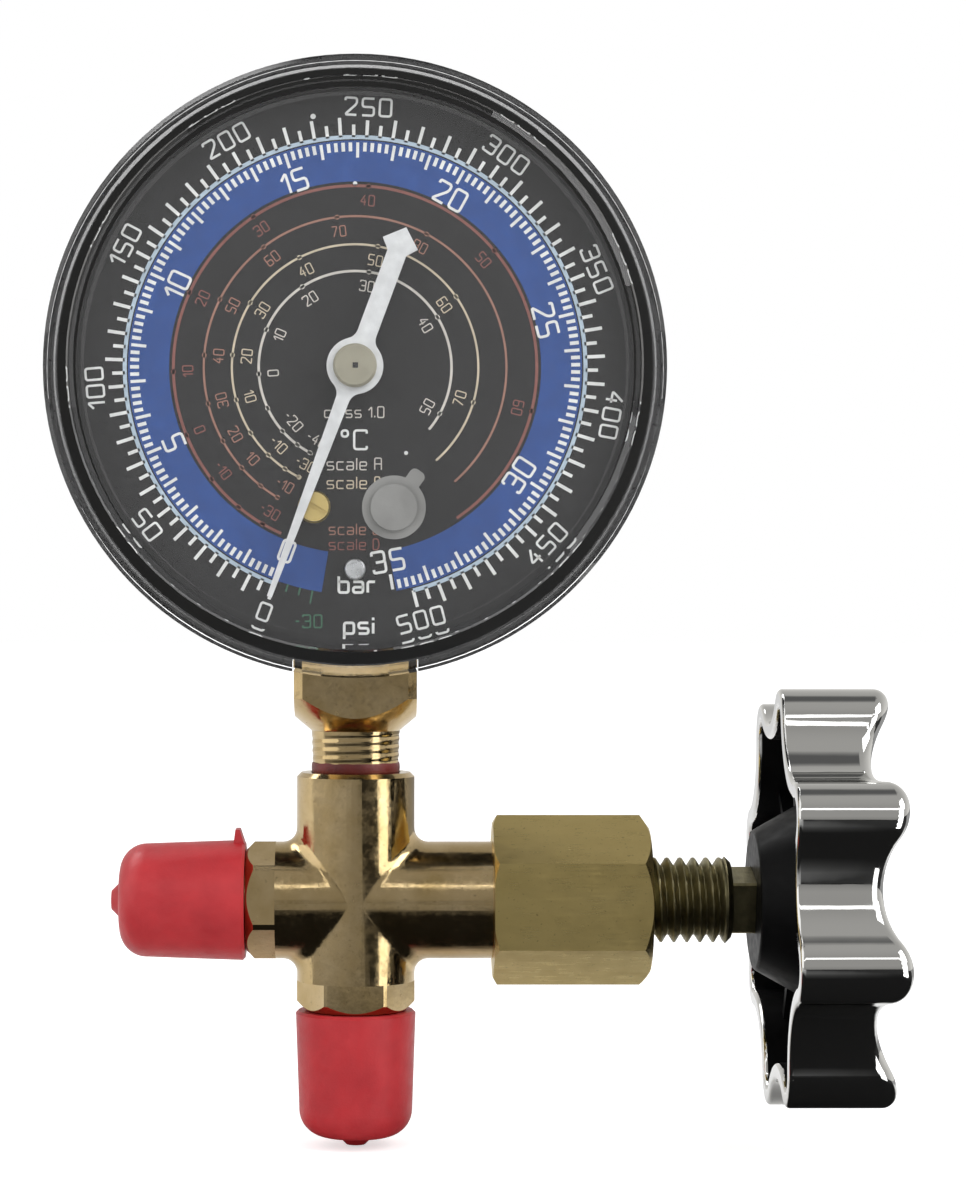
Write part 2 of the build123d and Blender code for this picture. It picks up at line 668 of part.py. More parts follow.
def lobed_face(inset):
    """The handwheel's outline, or a line parallel to it further in."""
    hollow = valley_round()
    half = 180 / LOBES
    arcs = []
    for count in range(LOBES):
        angle = KNOB_TURN + 2 * half * count
        lobe = Vector(*polar(KNOB_RADIUS - LOBE_ROUND, angle))
        before = Vector(*polar(VALLEY_RADIUS + hollow, angle - half))
        after = Vector(*polar(VALLEY_RADIUS + hollow, angle + half))
        next_lobe = Vector(*polar(KNOB_RADIUS - LOBE_ROUND, angle + 2 * half))
        first = lobe + (before - lobe).normalized() * (LOBE_ROUND - inset)
        last = lobe + (after - lobe).normalized() * (LOBE_ROUND - inset)
        onward = next_lobe + (after - next_lobe).normalized() * (LOBE_ROUND - inset)
        arcs.append(ThreePointArc(first, Vector(*polar(KNOB_RADIUS - inset, angle)), last))
        arcs.append(ThreePointArc(last, Vector(*polar(VALLEY_RADIUS - inset, angle + half)), onward))
    return make_face(arcs)


def make_handwheel():
    """The hollow handwheel: lobed wall, dished front, conical hub with a square hole, and ribs."""
    height = KNOB_FRONT - KNOB_BACK + 1
    dish = Pos(0, 0, DISH_CENTRE) * Sphere(DISH_RADIUS)
    web_back = Pos(0, 0, DISH_CENTRE) * Sphere(DISH_RADIUS + KNOB_WALL)
    outside = Pos(0, 0, KNOB_BACK) * extrude(lobed_face(0), height) - dish
    front_edges = [edge for edge in outside.edges() if edge.bounding_box().min.Z > KNOB_BACK + KNOB_WALL]
    outside = fillet(front_edges, KNOB_EDGE_ROUND)
    cavity = Pos(0, 0, KNOB_BACK - 1) * extrude(lobed_face(KNOB_WALL), height + 1) - web_back
    wheel = outside - cavity
    back_edges = wheel.faces().sort_by(Axis.Z)[0].edges()
    wheel = fillet(back_edges, KNOB_BACK_ROUND)
    wheel = wheel + make_hub() - dish + make_ribs()
    seat = Pos(0, 0, SCREW_SEAT) * Cylinder(SCREW_SEAT_RADIUS, height, align=ON_AXIS)
    wheel = Pos(0, 0, CROSS_Z) * TURNS["X"] * (wheel - seat)
    return wheel - square_bar(TANG_ACROSS + 2 * TANG_GAP, HUB_BACK - 1, KNOB_FRONT)


def make_hub():
    """The handwheel's conical hub, before the dish and the square hole are cut."""
    cone_end = DISH_CENTRE - math.sqrt((DISH_RADIUS + KNOB_WALL) ** 2 - HUB_FRONT_RADIUS**2)
    front = DISH_BOTTOM + KNOB_WALL
    corners = [
        (0, HUB_BACK),
        (HUB_BACK_RADIUS, HUB_BACK),
        (HUB_FRONT_RADIUS, cone_end),
        (HUB_FRONT_RADIUS, front),
        (0, front),
    ]
    hub = revolve(make_face(Plane.XZ * Polyline(*corners, close=True)), Axis.Z)
    return fillet(hub.edges().sort_by(Axis.Z)[0], HUB_ROUND)


def make_ribs():
    """Thin ribs inside the handwheel, from the hub out to each valley."""
    length = VALLEY_RADIUS - KNOB_WALL / 2 - HUB_BACK_RADIUS
    height = KNOB_FRONT - KNOB_BACK - RIB_INSET
    web_middle = Pos(0, 0, DISH_CENTRE) * Sphere(DISH_RADIUS + KNOB_WALL / 2)
    rib = Box(length, RIB_THICKNESS, height, align=(Align.MIN, Align.CENTER, Align.MIN))
    rib = Pos(HUB_BACK_RADIUS, 0, 0) * rib
    ribs = []
    for count in range(LOBES):
        turn = KNOB_TURN + 360 / LOBES * (count + 0.5)
        ribs.append(Pos(0, 0, KNOB_BACK + RIB_INSET) * Rot(0, 0, turn) * rib - web_middle)
    return ribs


def make_handwheel_washer():
    """The washer in the handwheel's front recess."""
    bore = KNOB_SCREW_RADIUS + BONNET_GAP
    return ring(WASHER_RADIUS, bore, SCREW_SEAT, SCREW_SEAT + WASHER_THICKNESS, "X", (0, CROSS_Z))


def make_handwheel_screw():
    """The screw that holds the handwheel on the tang, with a cross recess."""
    at = (0, CROSS_Z)
    head_back = SCREW_SEAT + WASHER_THICKNESS
    head_front = head_back + KNOB_SCREW_HEAD_HEIGHT
    profile = [
        (SCREW_SEAT - KNOB_SCREW_LENGTH, 0),
        (SCREW_SEAT - KNOB_SCREW_LENGTH, KNOB_SCREW_RADIUS),
        (head_back, KNOB_SCREW_RADIUS),
        (head_back, KNOB_SCREW_HEAD_RADIUS),
        (head_back + KNOB_SCREW_HEAD_HEIGHT / 2, KNOB_SCREW_HEAD_RADIUS),
        (head_front, KNOB_SCREW_HEAD_RADIUS * 0.6),
        (head_front, 0),
    ]
    screw = turned(profile, "X", at)
    for turn in (0, 90):
        slot = Box(KNOB_SCREW_HEAD_RADIUS, KNOB_SCREW_HEAD_RADIUS / 4, KNOB_SCREW_HEAD_HEIGHT)
        screw = screw - Pos(head_front, 0, CROSS_Z) * TURNS["X"] * Rot(0, 0, turn) * slot
    return screw


def make_socket():
    """The gauge's socket: tapered thread, square block, tongue for the movement and a boss for the dial."""
    half = BLOCK_HALF
    diagonal = half * math.sqrt(2)
    thread_bottom = SOCKET_BASE - SOCKET_ENGAGEMENT
    neck = BLOCK_BOTTOM - SOCKET_NECK_HEIGHT
    narrowing = SOCKET_THREAD_TAPER * (neck - thread_bottom)
    profile = [
        (thread_bottom, 0),
        (thread_bottom, SOCKET_THREAD_RADIUS - narrowing),
        (neck, SOCKET_THREAD_RADIUS),
        (BLOCK_BOTTOM, half),
        (BLOCK_BOTTOM + diagonal - half, diagonal),
        (BLOCK_TOP, diagonal),
        (BLOCK_TOP, 0),
    ]
    square = block((-half, -half, thread_bottom), (half, half, BLOCK_TOP))
    square = chamfer(square.edges().filter_by(Axis.Z), BLOCK_BEVEL)
    socket = square & turned(profile, "Z", (0, 0))
    tongue_front = BACK_PLATE_BACK
    socket = socket + block(
        (-TONGUE_WIDTH / 2, tongue_front, BLOCK_TOP - 1),
        (TONGUE_WIDTH / 2, tongue_front + TONGUE_THICKNESS, BLOCK_TOP + TONGUE_HEIGHT),
    )
    socket = socket + dial_rod(DIAL_BOSS_RADIUS, DIAL_BACK, 0, DIAL_SCREW_PLACE)
    socket = socket - rod(SOCKET_BORE_RADIUS, thread_bottom - 1, DIAL_Z - TUBE_RADIUS, "Z", (0, 0))
    tube_mouth = polar(TUBE_RADIUS, TUBE_START)[0]
    socket = socket - rod(SOCKET_BORE_RADIUS / 2, tube_mouth, 0, "X", (0, DIAL_Z - TUBE_RADIUS))
    socket = socket - tube_solid(TUBE_SOLDER_GAP, TUBE_START + TUBE_SOLDER_GAP, TUBE_START - TUBE_FREE_AFTER)
    return socket - socket_holes()


def socket_holes():
    """The tapped holes for the dial's, the case's and the movement's screws."""
    dial_hole_end = DIAL_FRONT + DIAL_SCREW_LENGTH + SCREW_GAP
    holes = dial_rod(DIAL_SCREW_RADIUS + SCREW_GAP, DIAL_BACK - 1, dial_hole_end, DIAL_SCREW_PLACE)
    case_hole_end = CASE_BACK - CASE_SCREW_LENGTH - SCREW_GAP
    for place in CASE_SCREW_PLACES:
        holes += dial_rod(CASE_SCREW_RADIUS + SCREW_GAP, case_hole_end, CASE_BACK, place)
    movement_hole_end = BACK_PLATE_FRONT + MOVEMENT_SCREW_LENGTH + SCREW_GAP
    for place in MOVEMENT_SCREW_PLACES:
        holes += dial_rod(MOVEMENT_SCREW_RADIUS + SCREW_GAP, BACK_PLATE_FRONT, movement_hole_end, place)
    return holes


def make_sealant():
    """The bead of sealant round the gauge's thread."""
    inside = SOCKET_THREAD_RADIUS
    profile = [
        (SOCKET_BASE, inside),
        (SOCKET_BASE, inside + SEALANT_THICKNESS),
        (SOCKET_BASE + SEALANT_HEIGHT / 2, inside + SEALANT_THICKNESS * 0.8),
        (SOCKET_BASE + SEALANT_HEIGHT, inside + SEALANT_THICKNESS * 0.2),
        (SOCKET_BASE + SEALANT_HEIGHT, inside),
    ]
    return turned(profile, "Z", (0, 0))


def tube_solid(extra, start, end):
    """A stretch of the flattened pressure tube, solid, between two angles seen from the front."""
    width = TUBE_THICKNESS + 2 * extra
    depth = TUBE_DEPTH + 2 * extra
    outline = Plane.XY * Pos(TUBE_RADIUS, 0) * SlotOverall(depth, width, rotation=90)
    swept = revolve(outline, Axis.Y, start - end)
    return Pos(0, 0, DIAL_Z) * Rot(0, -start, 0) * swept


def make_tube():
    """The pressure tube, a flattened hollow section bent round in a C."""
    outside = tube_solid(0, TUBE_START, TUBE_END)
    return outside - tube_solid(-TUBE_SHEET, TUBE_START + 1, TUBE_END - 1)


def make_tube_tip():
    """The end piece on the tube, with a boss and a hole for the link's pin."""
    half_width = TUBE_THICKNESS / 2 + TIP_EXTRA
    half_depth = TUBE_DEPTH / 2
    outline = Plane.XY * Pos(TUBE_RADIUS, 0) * Rectangle(2 * half_width, 2 * half_depth)
    start = TUBE_END - TUBE_SOLDER_GAP
    body = Pos(0, 0, DIAL_Z) * Rot(0, -start, 0) * revolve(outline, Axis.Y, TIP_SWEEP)
    boss_front = LINK_BACK + BEARING_GAP
    tip = body + dial_rod(TIP_BOSS_RADIUS, boss_front, -half_depth, TIP_PIN)
    return tip - dial_rod(PIN_RADIUS, boss_front - 1, -half_depth + 1, TIP_PIN)


def make_case():
    """The pan: back, rolled corner, wall with a bead, flange with notches and the socket's opening."""
    at = (0, DIAL_Z)
    inside = CASE_RADIUS - CASE_WALL
    corner = CASE_CORNER * CORNER_SHARE
    half = BLOCK_HALF + CASE_OPENING_GAP
    bead_back = -half + CASE_BEAD_THICKNESS
    profile = [
        (CASE_BACK, 0),
        (CASE_BACK, CASE_RADIUS - CASE_CORNER),
        (CASE_BACK - corner, CASE_RADIUS - corner),
        (CASE_BACK - CASE_CORNER, CASE_RADIUS),
        (bead_back, CASE_RADIUS),
        (bead_back, COVER_RADIUS),
        (-half, COVER_RADIUS),
        (-half, CASE_RADIUS),
        (CASE_RIM_FRONT + CASE_FLANGE_THICKNESS, CASE_RADIUS),
        (CASE_RIM_FRONT + CASE_FLANGE_THICKNESS, CASE_FLANGE_RADIUS),
        (CASE_RIM_FRONT, CASE_FLANGE_RADIUS),
        (CASE_RIM_FRONT, inside),
        (CASE_BACK - CASE_CORNER, inside),
        (CASE_BACK - CASE_WALL, inside - CASE_CORNER + CASE_WALL),
        (CASE_BACK - CASE_WALL, 0),
    ]
    case = turned(profile, "Y", at)
    notch_size = (CASE_FLANGE_RADIUS - CASE_RADIUS + 1, 3 * CASE_FLANGE_THICKNESS, CASE_NOTCH_WIDTH)
    notch = Pos(CASE_RADIUS, 0, 0) * Box(*notch_size, align=(Align.MIN, Align.CENTER, Align.CENTER))
    for count in range(LUGS):
        turn = 360 / LUGS * (count + 0.5)
        case = case - Pos(0, CASE_RIM_FRONT, DIAL_Z) * Rot(0, turn, 0) * notch
    opening_top = (half, CASE_BACK - CASE_WALL, DIAL_Z - CASE_RADIUS + CASE_OPENING_HEIGHT)
    case = case - block((-half, -half, DIAL_Z - COVER_RADIUS - 1), opening_top)
    for place in CASE_SCREW_PLACES:
        case = case - dial_rod(CASE_SCREW_RADIUS + SCREW_GAP, 0, CASE_BACK + 1, place)
    return case


def make_case_screws():
    """Two screws through the case's back into the socket."""
    screws = []
    top = CASE_BACK + CASE_SCREW_HEAD_HEIGHT
    slot = Box(2 * CASE_SCREW_HEAD_RADIUS, CASE_SCREW_HEAD_HEIGHT, CAL_SLOT_WIDTH)
    for x, z in CASE_SCREW_PLACES:
        head = dial_rod(CASE_SCREW_HEAD_RADIUS, CASE_BACK, top, (x, z))
        head = chamfer(head.edges().sort_by(Axis.Y)[-1], CASE_SCREW_HEAD_HEIGHT / 3)
        shank = dial_rod(CASE_SCREW_RADIUS, CASE_BACK - CASE_SCREW_LENGTH, CASE_BACK, (x, z))
        screws.append(head + shank - Pos(x, top, DIAL_Z + z) * slot)
    return Compound(children=screws)


def make_cover():
    """The clear cover: flat window, shoulder, skirt and four bayonet lugs behind the case's flange."""
    at = (0, DIAL_Z)
    skirt_inside = CASE_FLANGE_RADIUS + COVER_GAP
    window_inside = COVER_WINDOW_RADIUS - COVER_WALL
    shoulder_front = GASKET_FRONT - COVER_WALL
    edge = COVER_EDGE_ROUND
    profile = [
        (COVER_FRONT, 0),
        (COVER_FRONT, COVER_WINDOW_RADIUS - edge),
        (COVER_FRONT + edge * CORNER_SHARE, COVER_WINDOW_RADIUS - edge * CORNER_SHARE),
        (COVER_FRONT + edge, COVER_WINDOW_RADIUS),
        (shoulder_front, COVER_WINDOW_RADIUS),
        (shoulder_front, COVER_RADIUS - COVER_BEVEL),
        (shoulder_front + COVER_BEVEL, COVER_RADIUS),
        (COVER_SKIRT_BACK, COVER_RADIUS),
        (COVER_SKIRT_BACK, skirt_inside),
        (GASKET_FRONT, skirt_inside),
        (GASKET_FRONT, window_inside),
        (COVER_INSIDE, window_inside),
        (COVER_INSIDE, 0),
    ]
    cover = turned(profile, "Y", at)
    lug_front = CASE_RIM_FRONT + CASE_FLANGE_THICKNESS + COVER_GAP
    lug_ring = ring(COVER_RADIUS, skirt_inside - LUG_REACH, lug_front, lug_front + LUG_LENGTH, "Y", at)
    bar_size = (COVER_RADIUS, 2 * CASE_RADIUS, LUG_WIDTH)
    bar = Box(*bar_size, align=(Align.MIN, Align.CENTER, Align.CENTER))
    recess_back = shoulder_front + LUG_RECESS
    recess_ring = ring(COVER_RADIUS + 1, COVER_WINDOW_RADIUS, shoulder_front - 1, recess_back, "Y", at)
    for count in range(LUGS):
        sector = Pos(0, 0, DIAL_Z) * Rot(0, 360 / LUGS * count, 0) * bar
        cover = cover + (lug_ring & sector) - (recess_ring & sector)
    return cover - dial_rod(PLUG_SHANK_RADIUS + SCREW_GAP, COVER_FRONT - 1, COVER_INSIDE + 1, PLUG_PLACE)


def make_cover_gasket():
    """The seal between the cover and the case's rim."""
    outer = CASE_FLANGE_RADIUS - COVER_GAP
    return ring(outer, outer - COVER_GASKET_WIDTH, GASKET_FRONT, CASE_RIM_FRONT, "Y", (0, DIAL_Z))


def make_plug():
    """The pull-out plug in the cover, with a button and a pull tab."""
    flange_front = COVER_FRONT - PLUG_FLANGE_THICKNESS
    plug = dial_rod(PLUG_SHANK_RADIUS, COVER_FRONT, COVER_FRONT + PLUG_SHANK_LENGTH, PLUG_PLACE)
    plug = plug + dial_rod(PLUG_FLANGE_RADIUS, flange_front, COVER_FRONT, PLUG_PLACE)
    plug = plug + dial_rod(PLUG_BUTTON_RADIUS, flange_front - PLUG_BUTTON_HEIGHT, flange_front, PLUG_PLACE)
    tab_size = (PLUG_TAB_REACH, PLUG_FLANGE_THICKNESS, PLUG_TAB_WIDTH)
    tab = Box(*tab_size, align=(Align.MIN, Align.MIN, Align.CENTER))
    tab = fillet(tab.edges().filter_by(Axis.Y).sort_by(Axis.X)[-2:], PLUG_TAB_WIDTH / 3)
    place = Pos(PLUG_X, flange_front, DIAL_Z - PLUG_BELOW)
    return plug + place * Rot(0, -PLUG_TAB_ANGLE, 0) * tab


def make_dial():
    """The dial plate with its three holes."""
    dial = dial_rod(DIAL_RADIUS, DIAL_FRONT, DIAL_BACK, (0, 0))
    dial = dial - dial_rod(DIAL_CENTRE_HOLE, DIAL_FRONT - 1, DIAL_BACK + 1, (0, 0))
    dial = dial - dial_rod(DIAL_SCREW_RADIUS + SCREW_GAP, DIAL_FRONT - 1, DIAL_BACK + 1, DIAL_SCREW_PLACE)
    return dial - dial_rod(CAL_SCREW_HEAD_RADIUS + COVER_GAP, DIAL_FRONT - 1, DIAL_BACK + 1, CAL_SCREW_PLACE)


def make_dial_screw():
    """The screw that holds the dial on the socket's boss."""
    head_front = DIAL_FRONT - DIAL_SCREW_HEAD_HEIGHT
    head = dial_rod(DIAL_SCREW_HEAD_RADIUS, head_front, DIAL_FRONT, DIAL_SCREW_PLACE)
    head = fillet(head.edges().sort_by(Axis.Y)[0], DIAL_SCREW_HEAD_HEIGHT / 2)
    return head + dial_rod(DIAL_SCREW_RADIUS, DIAL_FRONT, DIAL_FRONT + DIAL_SCREW_LENGTH, DIAL_SCREW_PLACE)


def make_calibration_screw():
    """The slotted brass screw seen through the dial."""
    front = DIAL_FRONT - CAL_SCREW_STANDS_OUT
    back = front + CAL_SCREW_HEAD_HEIGHT
    screw = dial_rod(CAL_SCREW_HEAD_RADIUS, front, back, CAL_SCREW_PLACE)
    screw = screw + dial_rod(CAL_SCREW_SHANK_RADIUS, back, back + CAL_SCREW_LENGTH, CAL_SCREW_PLACE)
    slot = Box(3 * CAL_SCREW_HEAD_RADIUS, 2 * CAL_SLOT_DEPTH, CAL_SLOT_WIDTH)
    return screw - Pos(CAL_SCREW_X, front, DIAL_Z - CAL_SCREW_BELOW) * Rot(0, CAL_SLOT_TURN, 0) * slot


def make_pointer():
    """The pointer: disc, tapering blade and arrow-shaped tail."""
    neck = TAIL_LENGTH - TAIL_HEAD_LENGTH - TAIL_NECK_LENGTH
    corners = [
        (POINTER_LENGTH, POINTER_TIP_HALF),
        (0, POINTER_ROOT_HALF),
        (0, TAIL_HALF),
        (-neck, TAIL_HALF),
        (-neck - TAIL_NECK_LENGTH, TAIL_HEAD_HALF),
        (-TAIL_LENGTH, 0),
    ]
    mirrored = [(x, -y) for x, y in reversed(corners[:-1])]
    blade = make_face(Polyline(*corners, *mirrored, close=True))
    face = blade + Circle(POINTER_DISC_RADIUS)
    reach = POINTER_DISC_RADIUS + BEARING_GAP
    roots = [corner for corner in face.vertices() if math.hypot(corner.X, corner.Y) < reach]
    face = fillet(roots, POINTER_ROOT_ROUND) - Circle(BUSH_NECK_RADIUS + SCREW_GAP)
    turned_face = Rot(0, 0, -90 - POINTER_REST) * face
    return plate(turned_face, POINTER_FRONT + POINTER_THICKNESS, POINTER_THICKNESS)


def make_pointer_bush():
    """The bush that carries the pointer on the pinion's shaft."""
    at = (0, DIAL_Z)
    front = POINTER_FRONT - BUSH_HEAD_HEIGHT
    back = POINTER_FRONT + BUSH_LENGTH
    profile = [
        (front, 0),
        (front, BUSH_RADIUS - BUSH_BEVEL),
        (front + BUSH_BEVEL, BUSH_RADIUS),
        (POINTER_FRONT, BUSH_RADIUS),
        (POINTER_FRONT, BUSH_NECK_RADIUS),
        (back, BUSH_NECK_RADIUS),
        (back, ARBOR_RADIUS + BEARING_GAP / 2),
        (POINTER_FRONT, ARBOR_RADIUS + BEARING_GAP / 2),
        (POINTER_FRONT, 0),
    ]
    return turned(profile, "Y", at)


def flank_angle(radius, pitch, teeth):
    """Half of a tooth's thickness as an angle at a radius, for an involute tooth thinned by the backlash."""
    base = pitch * math.cos(math.radians(PRESSURE_ANGLE))
    at_pitch = math.pi / (2 * teeth) - BACKLASH / (4 * pitch)
    spread = involute(math.acos(base / pitch)) - involute(math.acos(min(1, base / radius)))
    return math.degrees(at_pitch + spread)


def involute(angle):
    """The involute function."""
    return math.tan(angle) - angle


def tooth_points(middle, pitch, teeth):
    """One tooth's corners and flank points, from root to root, about the gear's own centre."""
    low = pitch - DEDENDUM * MODULE
    base = pitch * math.cos(math.radians(PRESSURE_ANGLE))
    high = pitch + ADDENDUM * MODULE
    start = max(low, base)
    radii = [low, start + (high - start) / 3, start + (high - start) * 2 / 3, high]
    halves = [flank_angle(radius, pitch, teeth) for radius in radii]
    rising = [polar(radius, middle - half) for radius, half in zip(radii, halves)]
    falling = [polar(radius, middle + half) for radius, half in zip(reversed(radii), reversed(halves))]
    return rising + falling


def make_pinion_arbor():
    """The pinion's shaft with its teeth cut from the solid and a collet for the hairspring."""
    points = []
    for count in range(PINION_TEETH):
        middle = SECTOR_DIRECTION + 360 / PINION_TEETH * (count + 0.5)
        points += tooth_points(middle, PINION_PITCH, PINION_TEETH)
    pinion = plate(make_face(Polyline(*points, close=True)), PINION_BACK, PINION_LENGTH)
    shaft = dial_rod(ARBOR_RADIUS, POINTER_FRONT + SCREW_GAP, BACK_PLATE_BACK, (0, 0))
    collet = dial_rod(COLLET_RADIUS, COLLET_BACK - COLLET_LENGTH, COLLET_BACK, (0, 0))
    return pinion + shaft + collet


def make_sector():
    """The toothed sector: rim with teeth, two spokes, hub and the tail lever."""
    step = 360 / SECTOR_WHOLE_TEETH
    contact = SECTOR_DIRECTION + 180
    points = []
    for count in range(-SECTOR_TEETH_AFTER, SECTOR_TEETH_BEFORE + 1):
        points += tooth_points(contact + step * count, SECTOR_PITCH, SECTOR_WHOLE_TEETH)
    first = contact - step * (SECTOR_TEETH_AFTER + 0.5)
    last = contact + step * (SECTOR_TEETH_BEFORE + 0.5)
    middle = (first + last) / 2
    root = SECTOR_PITCH - DEDENDUM * MODULE
    inner = root - SECTOR_RIM
    arc = ThreePointArc(polar(inner, last), polar(inner, middle), polar(inner, first))
    teeth = [polar(root, first), *points, polar(root, last)]
    outline = Polyline(polar(inner, first), *teeth, polar(inner, last))
    face = make_face([*outline.edges(), arc])
    for angle in (first + step, last - step):
        spoke = Pos(inner / 2, 0) * Rectangle(inner + 1, 2 * SECTOR_SPOKE_HALF)
        face = face + Rot(0, 0, angle) * spoke
    lever = Pos(TAIL_LEVER_LENGTH / 2, 0) * SlotCenterToCenter(TAIL_LEVER_LENGTH, 2 * TAIL_LEVER_ROUND)
    face = face + Circle(SECTOR_HUB_RADIUS) + Rot(0, 0, SECTOR_DIRECTION) * lever
    face = face - Circle(ARBOR_RADIUS)
    face = face - Pos(*polar(TAIL_LEVER_LENGTH, SECTOR_DIRECTION)) * Circle(PIN_RADIUS + BEARING_GAP)
    return plate(Pos(*SECTOR_PIVOT) * face, SECTOR_BACK, SECTOR_THICKNESS)


def make_sector_arbor():
    """The sector's shaft, stepped between the plates."""
    shaft = dial_rod(ARBOR_RADIUS, FRONT_PLATE_FRONT, BACK_PLATE_BACK, SECTOR_PIVOT)
    sector_front = SECTOR_BACK - SECTOR_THICKNESS
    front_collar = dial_rod(COLLET_RADIUS, sector_front - COLLET_LENGTH, sector_front, SECTOR_PIVOT)
    back_collar = dial_rod(COLLET_RADIUS, SECTOR_BACK, SECTOR_BACK + COLLET_LENGTH, SECTOR_PIVOT)
    return shaft + front_collar + back_collar


def make_link():
    """The link from the tube's end piece to the sector's tail."""
    span = Vector(*TIP_PIN) - Vector(*TAIL_PIN)
    middle = (Vector(*TIP_PIN) + Vector(*TAIL_PIN)) / 2
    bar = SlotCenterToCenter(span.length, 2 * LINK_ROUND)
    turn = math.degrees(math.atan2(span.Y, span.X))
    face = Pos(middle.X, middle.Y) * Rot(0, 0, turn) * bar
    for place in (TIP_PIN, TAIL_PIN):
        face = face - Pos(*place) * Circle(PIN_RADIUS)
    return plate(face, LINK_BACK, LINK_THICKNESS)


def make_link_pins():
    """The two headed pins at the link's ends."""
    front = LINK_BACK - LINK_THICKNESS
    ends = {TAIL_PIN: SECTOR_BACK, TIP_PIN: -TUBE_DEPTH / 2}
    pins = []
    for place, back in ends.items():
        head = dial_rod(PIN_HEAD_RADIUS, front - PIN_HEAD_HEIGHT, front, place)
        pins.append(head + dial_rod(PIN_RADIUS, front, back, place))
    return Compound(children=pins)


def spiral_arcs(offset):
    """Half circles that wind outwards, moved off the strip's middle line by an offset."""
    step = SPRING_COIL_PITCH / 2
    arcs = []
    for count in range(SPRING_HALF_TURNS):
        even = count % 2 == 0
        centre = 0 if even else step
        radius = COLLET_RADIUS + SPRING_STRIP + step * count + offset
        side = 1 if even else -1
        first = (centre + side * radius, 0)
        last = (centre - side * radius, 0)
        arcs.append(ThreePointArc(first, (centre, side * radius), last))
    return arcs


def make_hairspring():
    """The flat spiral spring on the pinion's collet."""
    inner = spiral_arcs(-SPRING_STRIP / 2)
    outer = spiral_arcs(SPRING_STRIP / 2)
    start = Line(inner[0] @ 0, outer[0] @ 0)
    end = Line(inner[-1] @ 1, outer[-1] @ 1)
    return plate(make_face([*inner, *outer, start, end]), SPRING_BACK, SPRING_WIDTH)


def movement_face():
    """A movement plate's outline round its pillars and screws, with the pillars' and the bearings' holes."""
    holds = [Pos(*place) * Circle(PLATE_MARGIN) for place in (*PILLARS, SECTOR_PIVOT, *MOVEMENT_SCREW_PLACES)]
    face = make_hull([edge for hold in holds for edge in hold.edges()])
    for place in PILLARS:
        face = face - Pos(*place) * Circle(PILLAR_NECK_RADIUS + SCREW_GAP)
    for place in ((0, 0), SECTOR_PIVOT):
        face = face - Pos(*place) * Circle(ARBOR_RADIUS + BEARING_GAP)
    return face


def make_back_plate():
    """The movement's back plate, screwed on the socket's tongue."""
    face = movement_face()
    for place in MOVEMENT_SCREW_PLACES:
        face = face - Pos(*place) * Circle(MOVEMENT_SCREW_RADIUS + SCREW_GAP)
    return plate(face, BACK_PLATE_BACK, PLATE_THICKNESS)


def make_front_plate():
    """The movement's front plate, with the calibration screw's hole."""
    face = movement_face() - Pos(*CAL_SCREW_PLACE) * Circle(CAL_SCREW_SHANK_RADIUS + SCREW_GAP)
    return plate(face, FRONT_PLATE_FRONT + PLATE_THICKNESS, PLATE_THICKNESS)


def make_pillars():
    """Three pillars between the plates, with posts in front that the dial rests on."""
    front_plate_back = FRONT_PLATE_FRONT + PLATE_THICKNESS
    pillars = []
    for place in PILLARS:
        pillar = dial_rod(PILLAR_RADIUS, front_plate_back, BACK_PLATE_FRONT, place)
        pillar = pillar + dial_rod(PILLAR_NECK_RADIUS, FRONT_PLATE_FRONT, BACK_PLATE_BACK, place)
        pillar = pillar + dial_rod(PILLAR_RADIUS, DIAL_BACK, FRONT_PLATE_FRONT, place)
        pillars.append(pillar)
    return Compound(children=pillars)


def make_movement_screws():
    """Two screws that hold the movement on the socket's tongue."""
    screws = []
    seat = BACK_PLATE_FRONT
    for place in MOVEMENT_SCREW_PLACES:
        head = dial_rod(MOVEMENT_SCREW_HEAD_RADIUS, seat - MOVEMENT_SCREW_HEAD_HEIGHT, seat, place)
        shank = dial_rod(MOVEMENT_SCREW_RADIUS, seat, seat + MOVEMENT_SCREW_LENGTH, place)
        screws.append(head + shank)
    return Compound(children=screws)


PARTS = {
    "manifold_body": make_body,
    "valve_bonnet": make_bonnet,
    "bonnet_gasket": make_bonnet_gasket,
    "valve_stem": make_stem,
    "valve_piston": make_piston,
    "piston_o_rings": make_piston_rings,
    "piston_seal": make_piston_seal,
    "handwheel": make_handwheel,
    "handwheel_washer": make_handwheel_washer,
    "handwheel_screw": make_handwheel_screw,
    "left_port_cap": make_left_cap,
    "bottom_port_cap": make_bottom_cap,
    "thread_sealant": make_sealant,
    "gauge_socket": make_socket,
    "gauge_case": make_case,
    "case_screws": make_case_screws,
    "lens_cover": make_cover,
    "lens_gasket": make_cover_gasket,
    "calibration_plug": make_plug,
    "dial_plate": make_dial,
    "dial_screw": make_dial_screw,
    "calibration_screw": make_calibration_screw,
    "pointer": make_pointer,
    "pointer_hub": make_pointer_bush,
    "pinion_arbor": make_pinion_arbor,
    "hairspring": make_hairspring,
    "sector_gear": make_sector,
    "sector_arbor": make_sector_arbor,
    "connecting_link": make_link,
    "link_pins": make_link_pins,
    "bourdon_tube": make_tube,
    "tube_tip": make_tube_tip,
    "movement_back_plate": make_back_plate,
    "movement_front_plate": make_front_plate,
    "movement_pillars": make_pillars,
    "movement_screws": make_movement_screws,
}

os.makedirs("parts", exist_ok=True)
for name, make in PARTS.items():
    export_step(make(), f"parts/{name}.step")
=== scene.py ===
import json
import math

import bmesh
import bpy
from mathutils import Matrix, Vector, noise


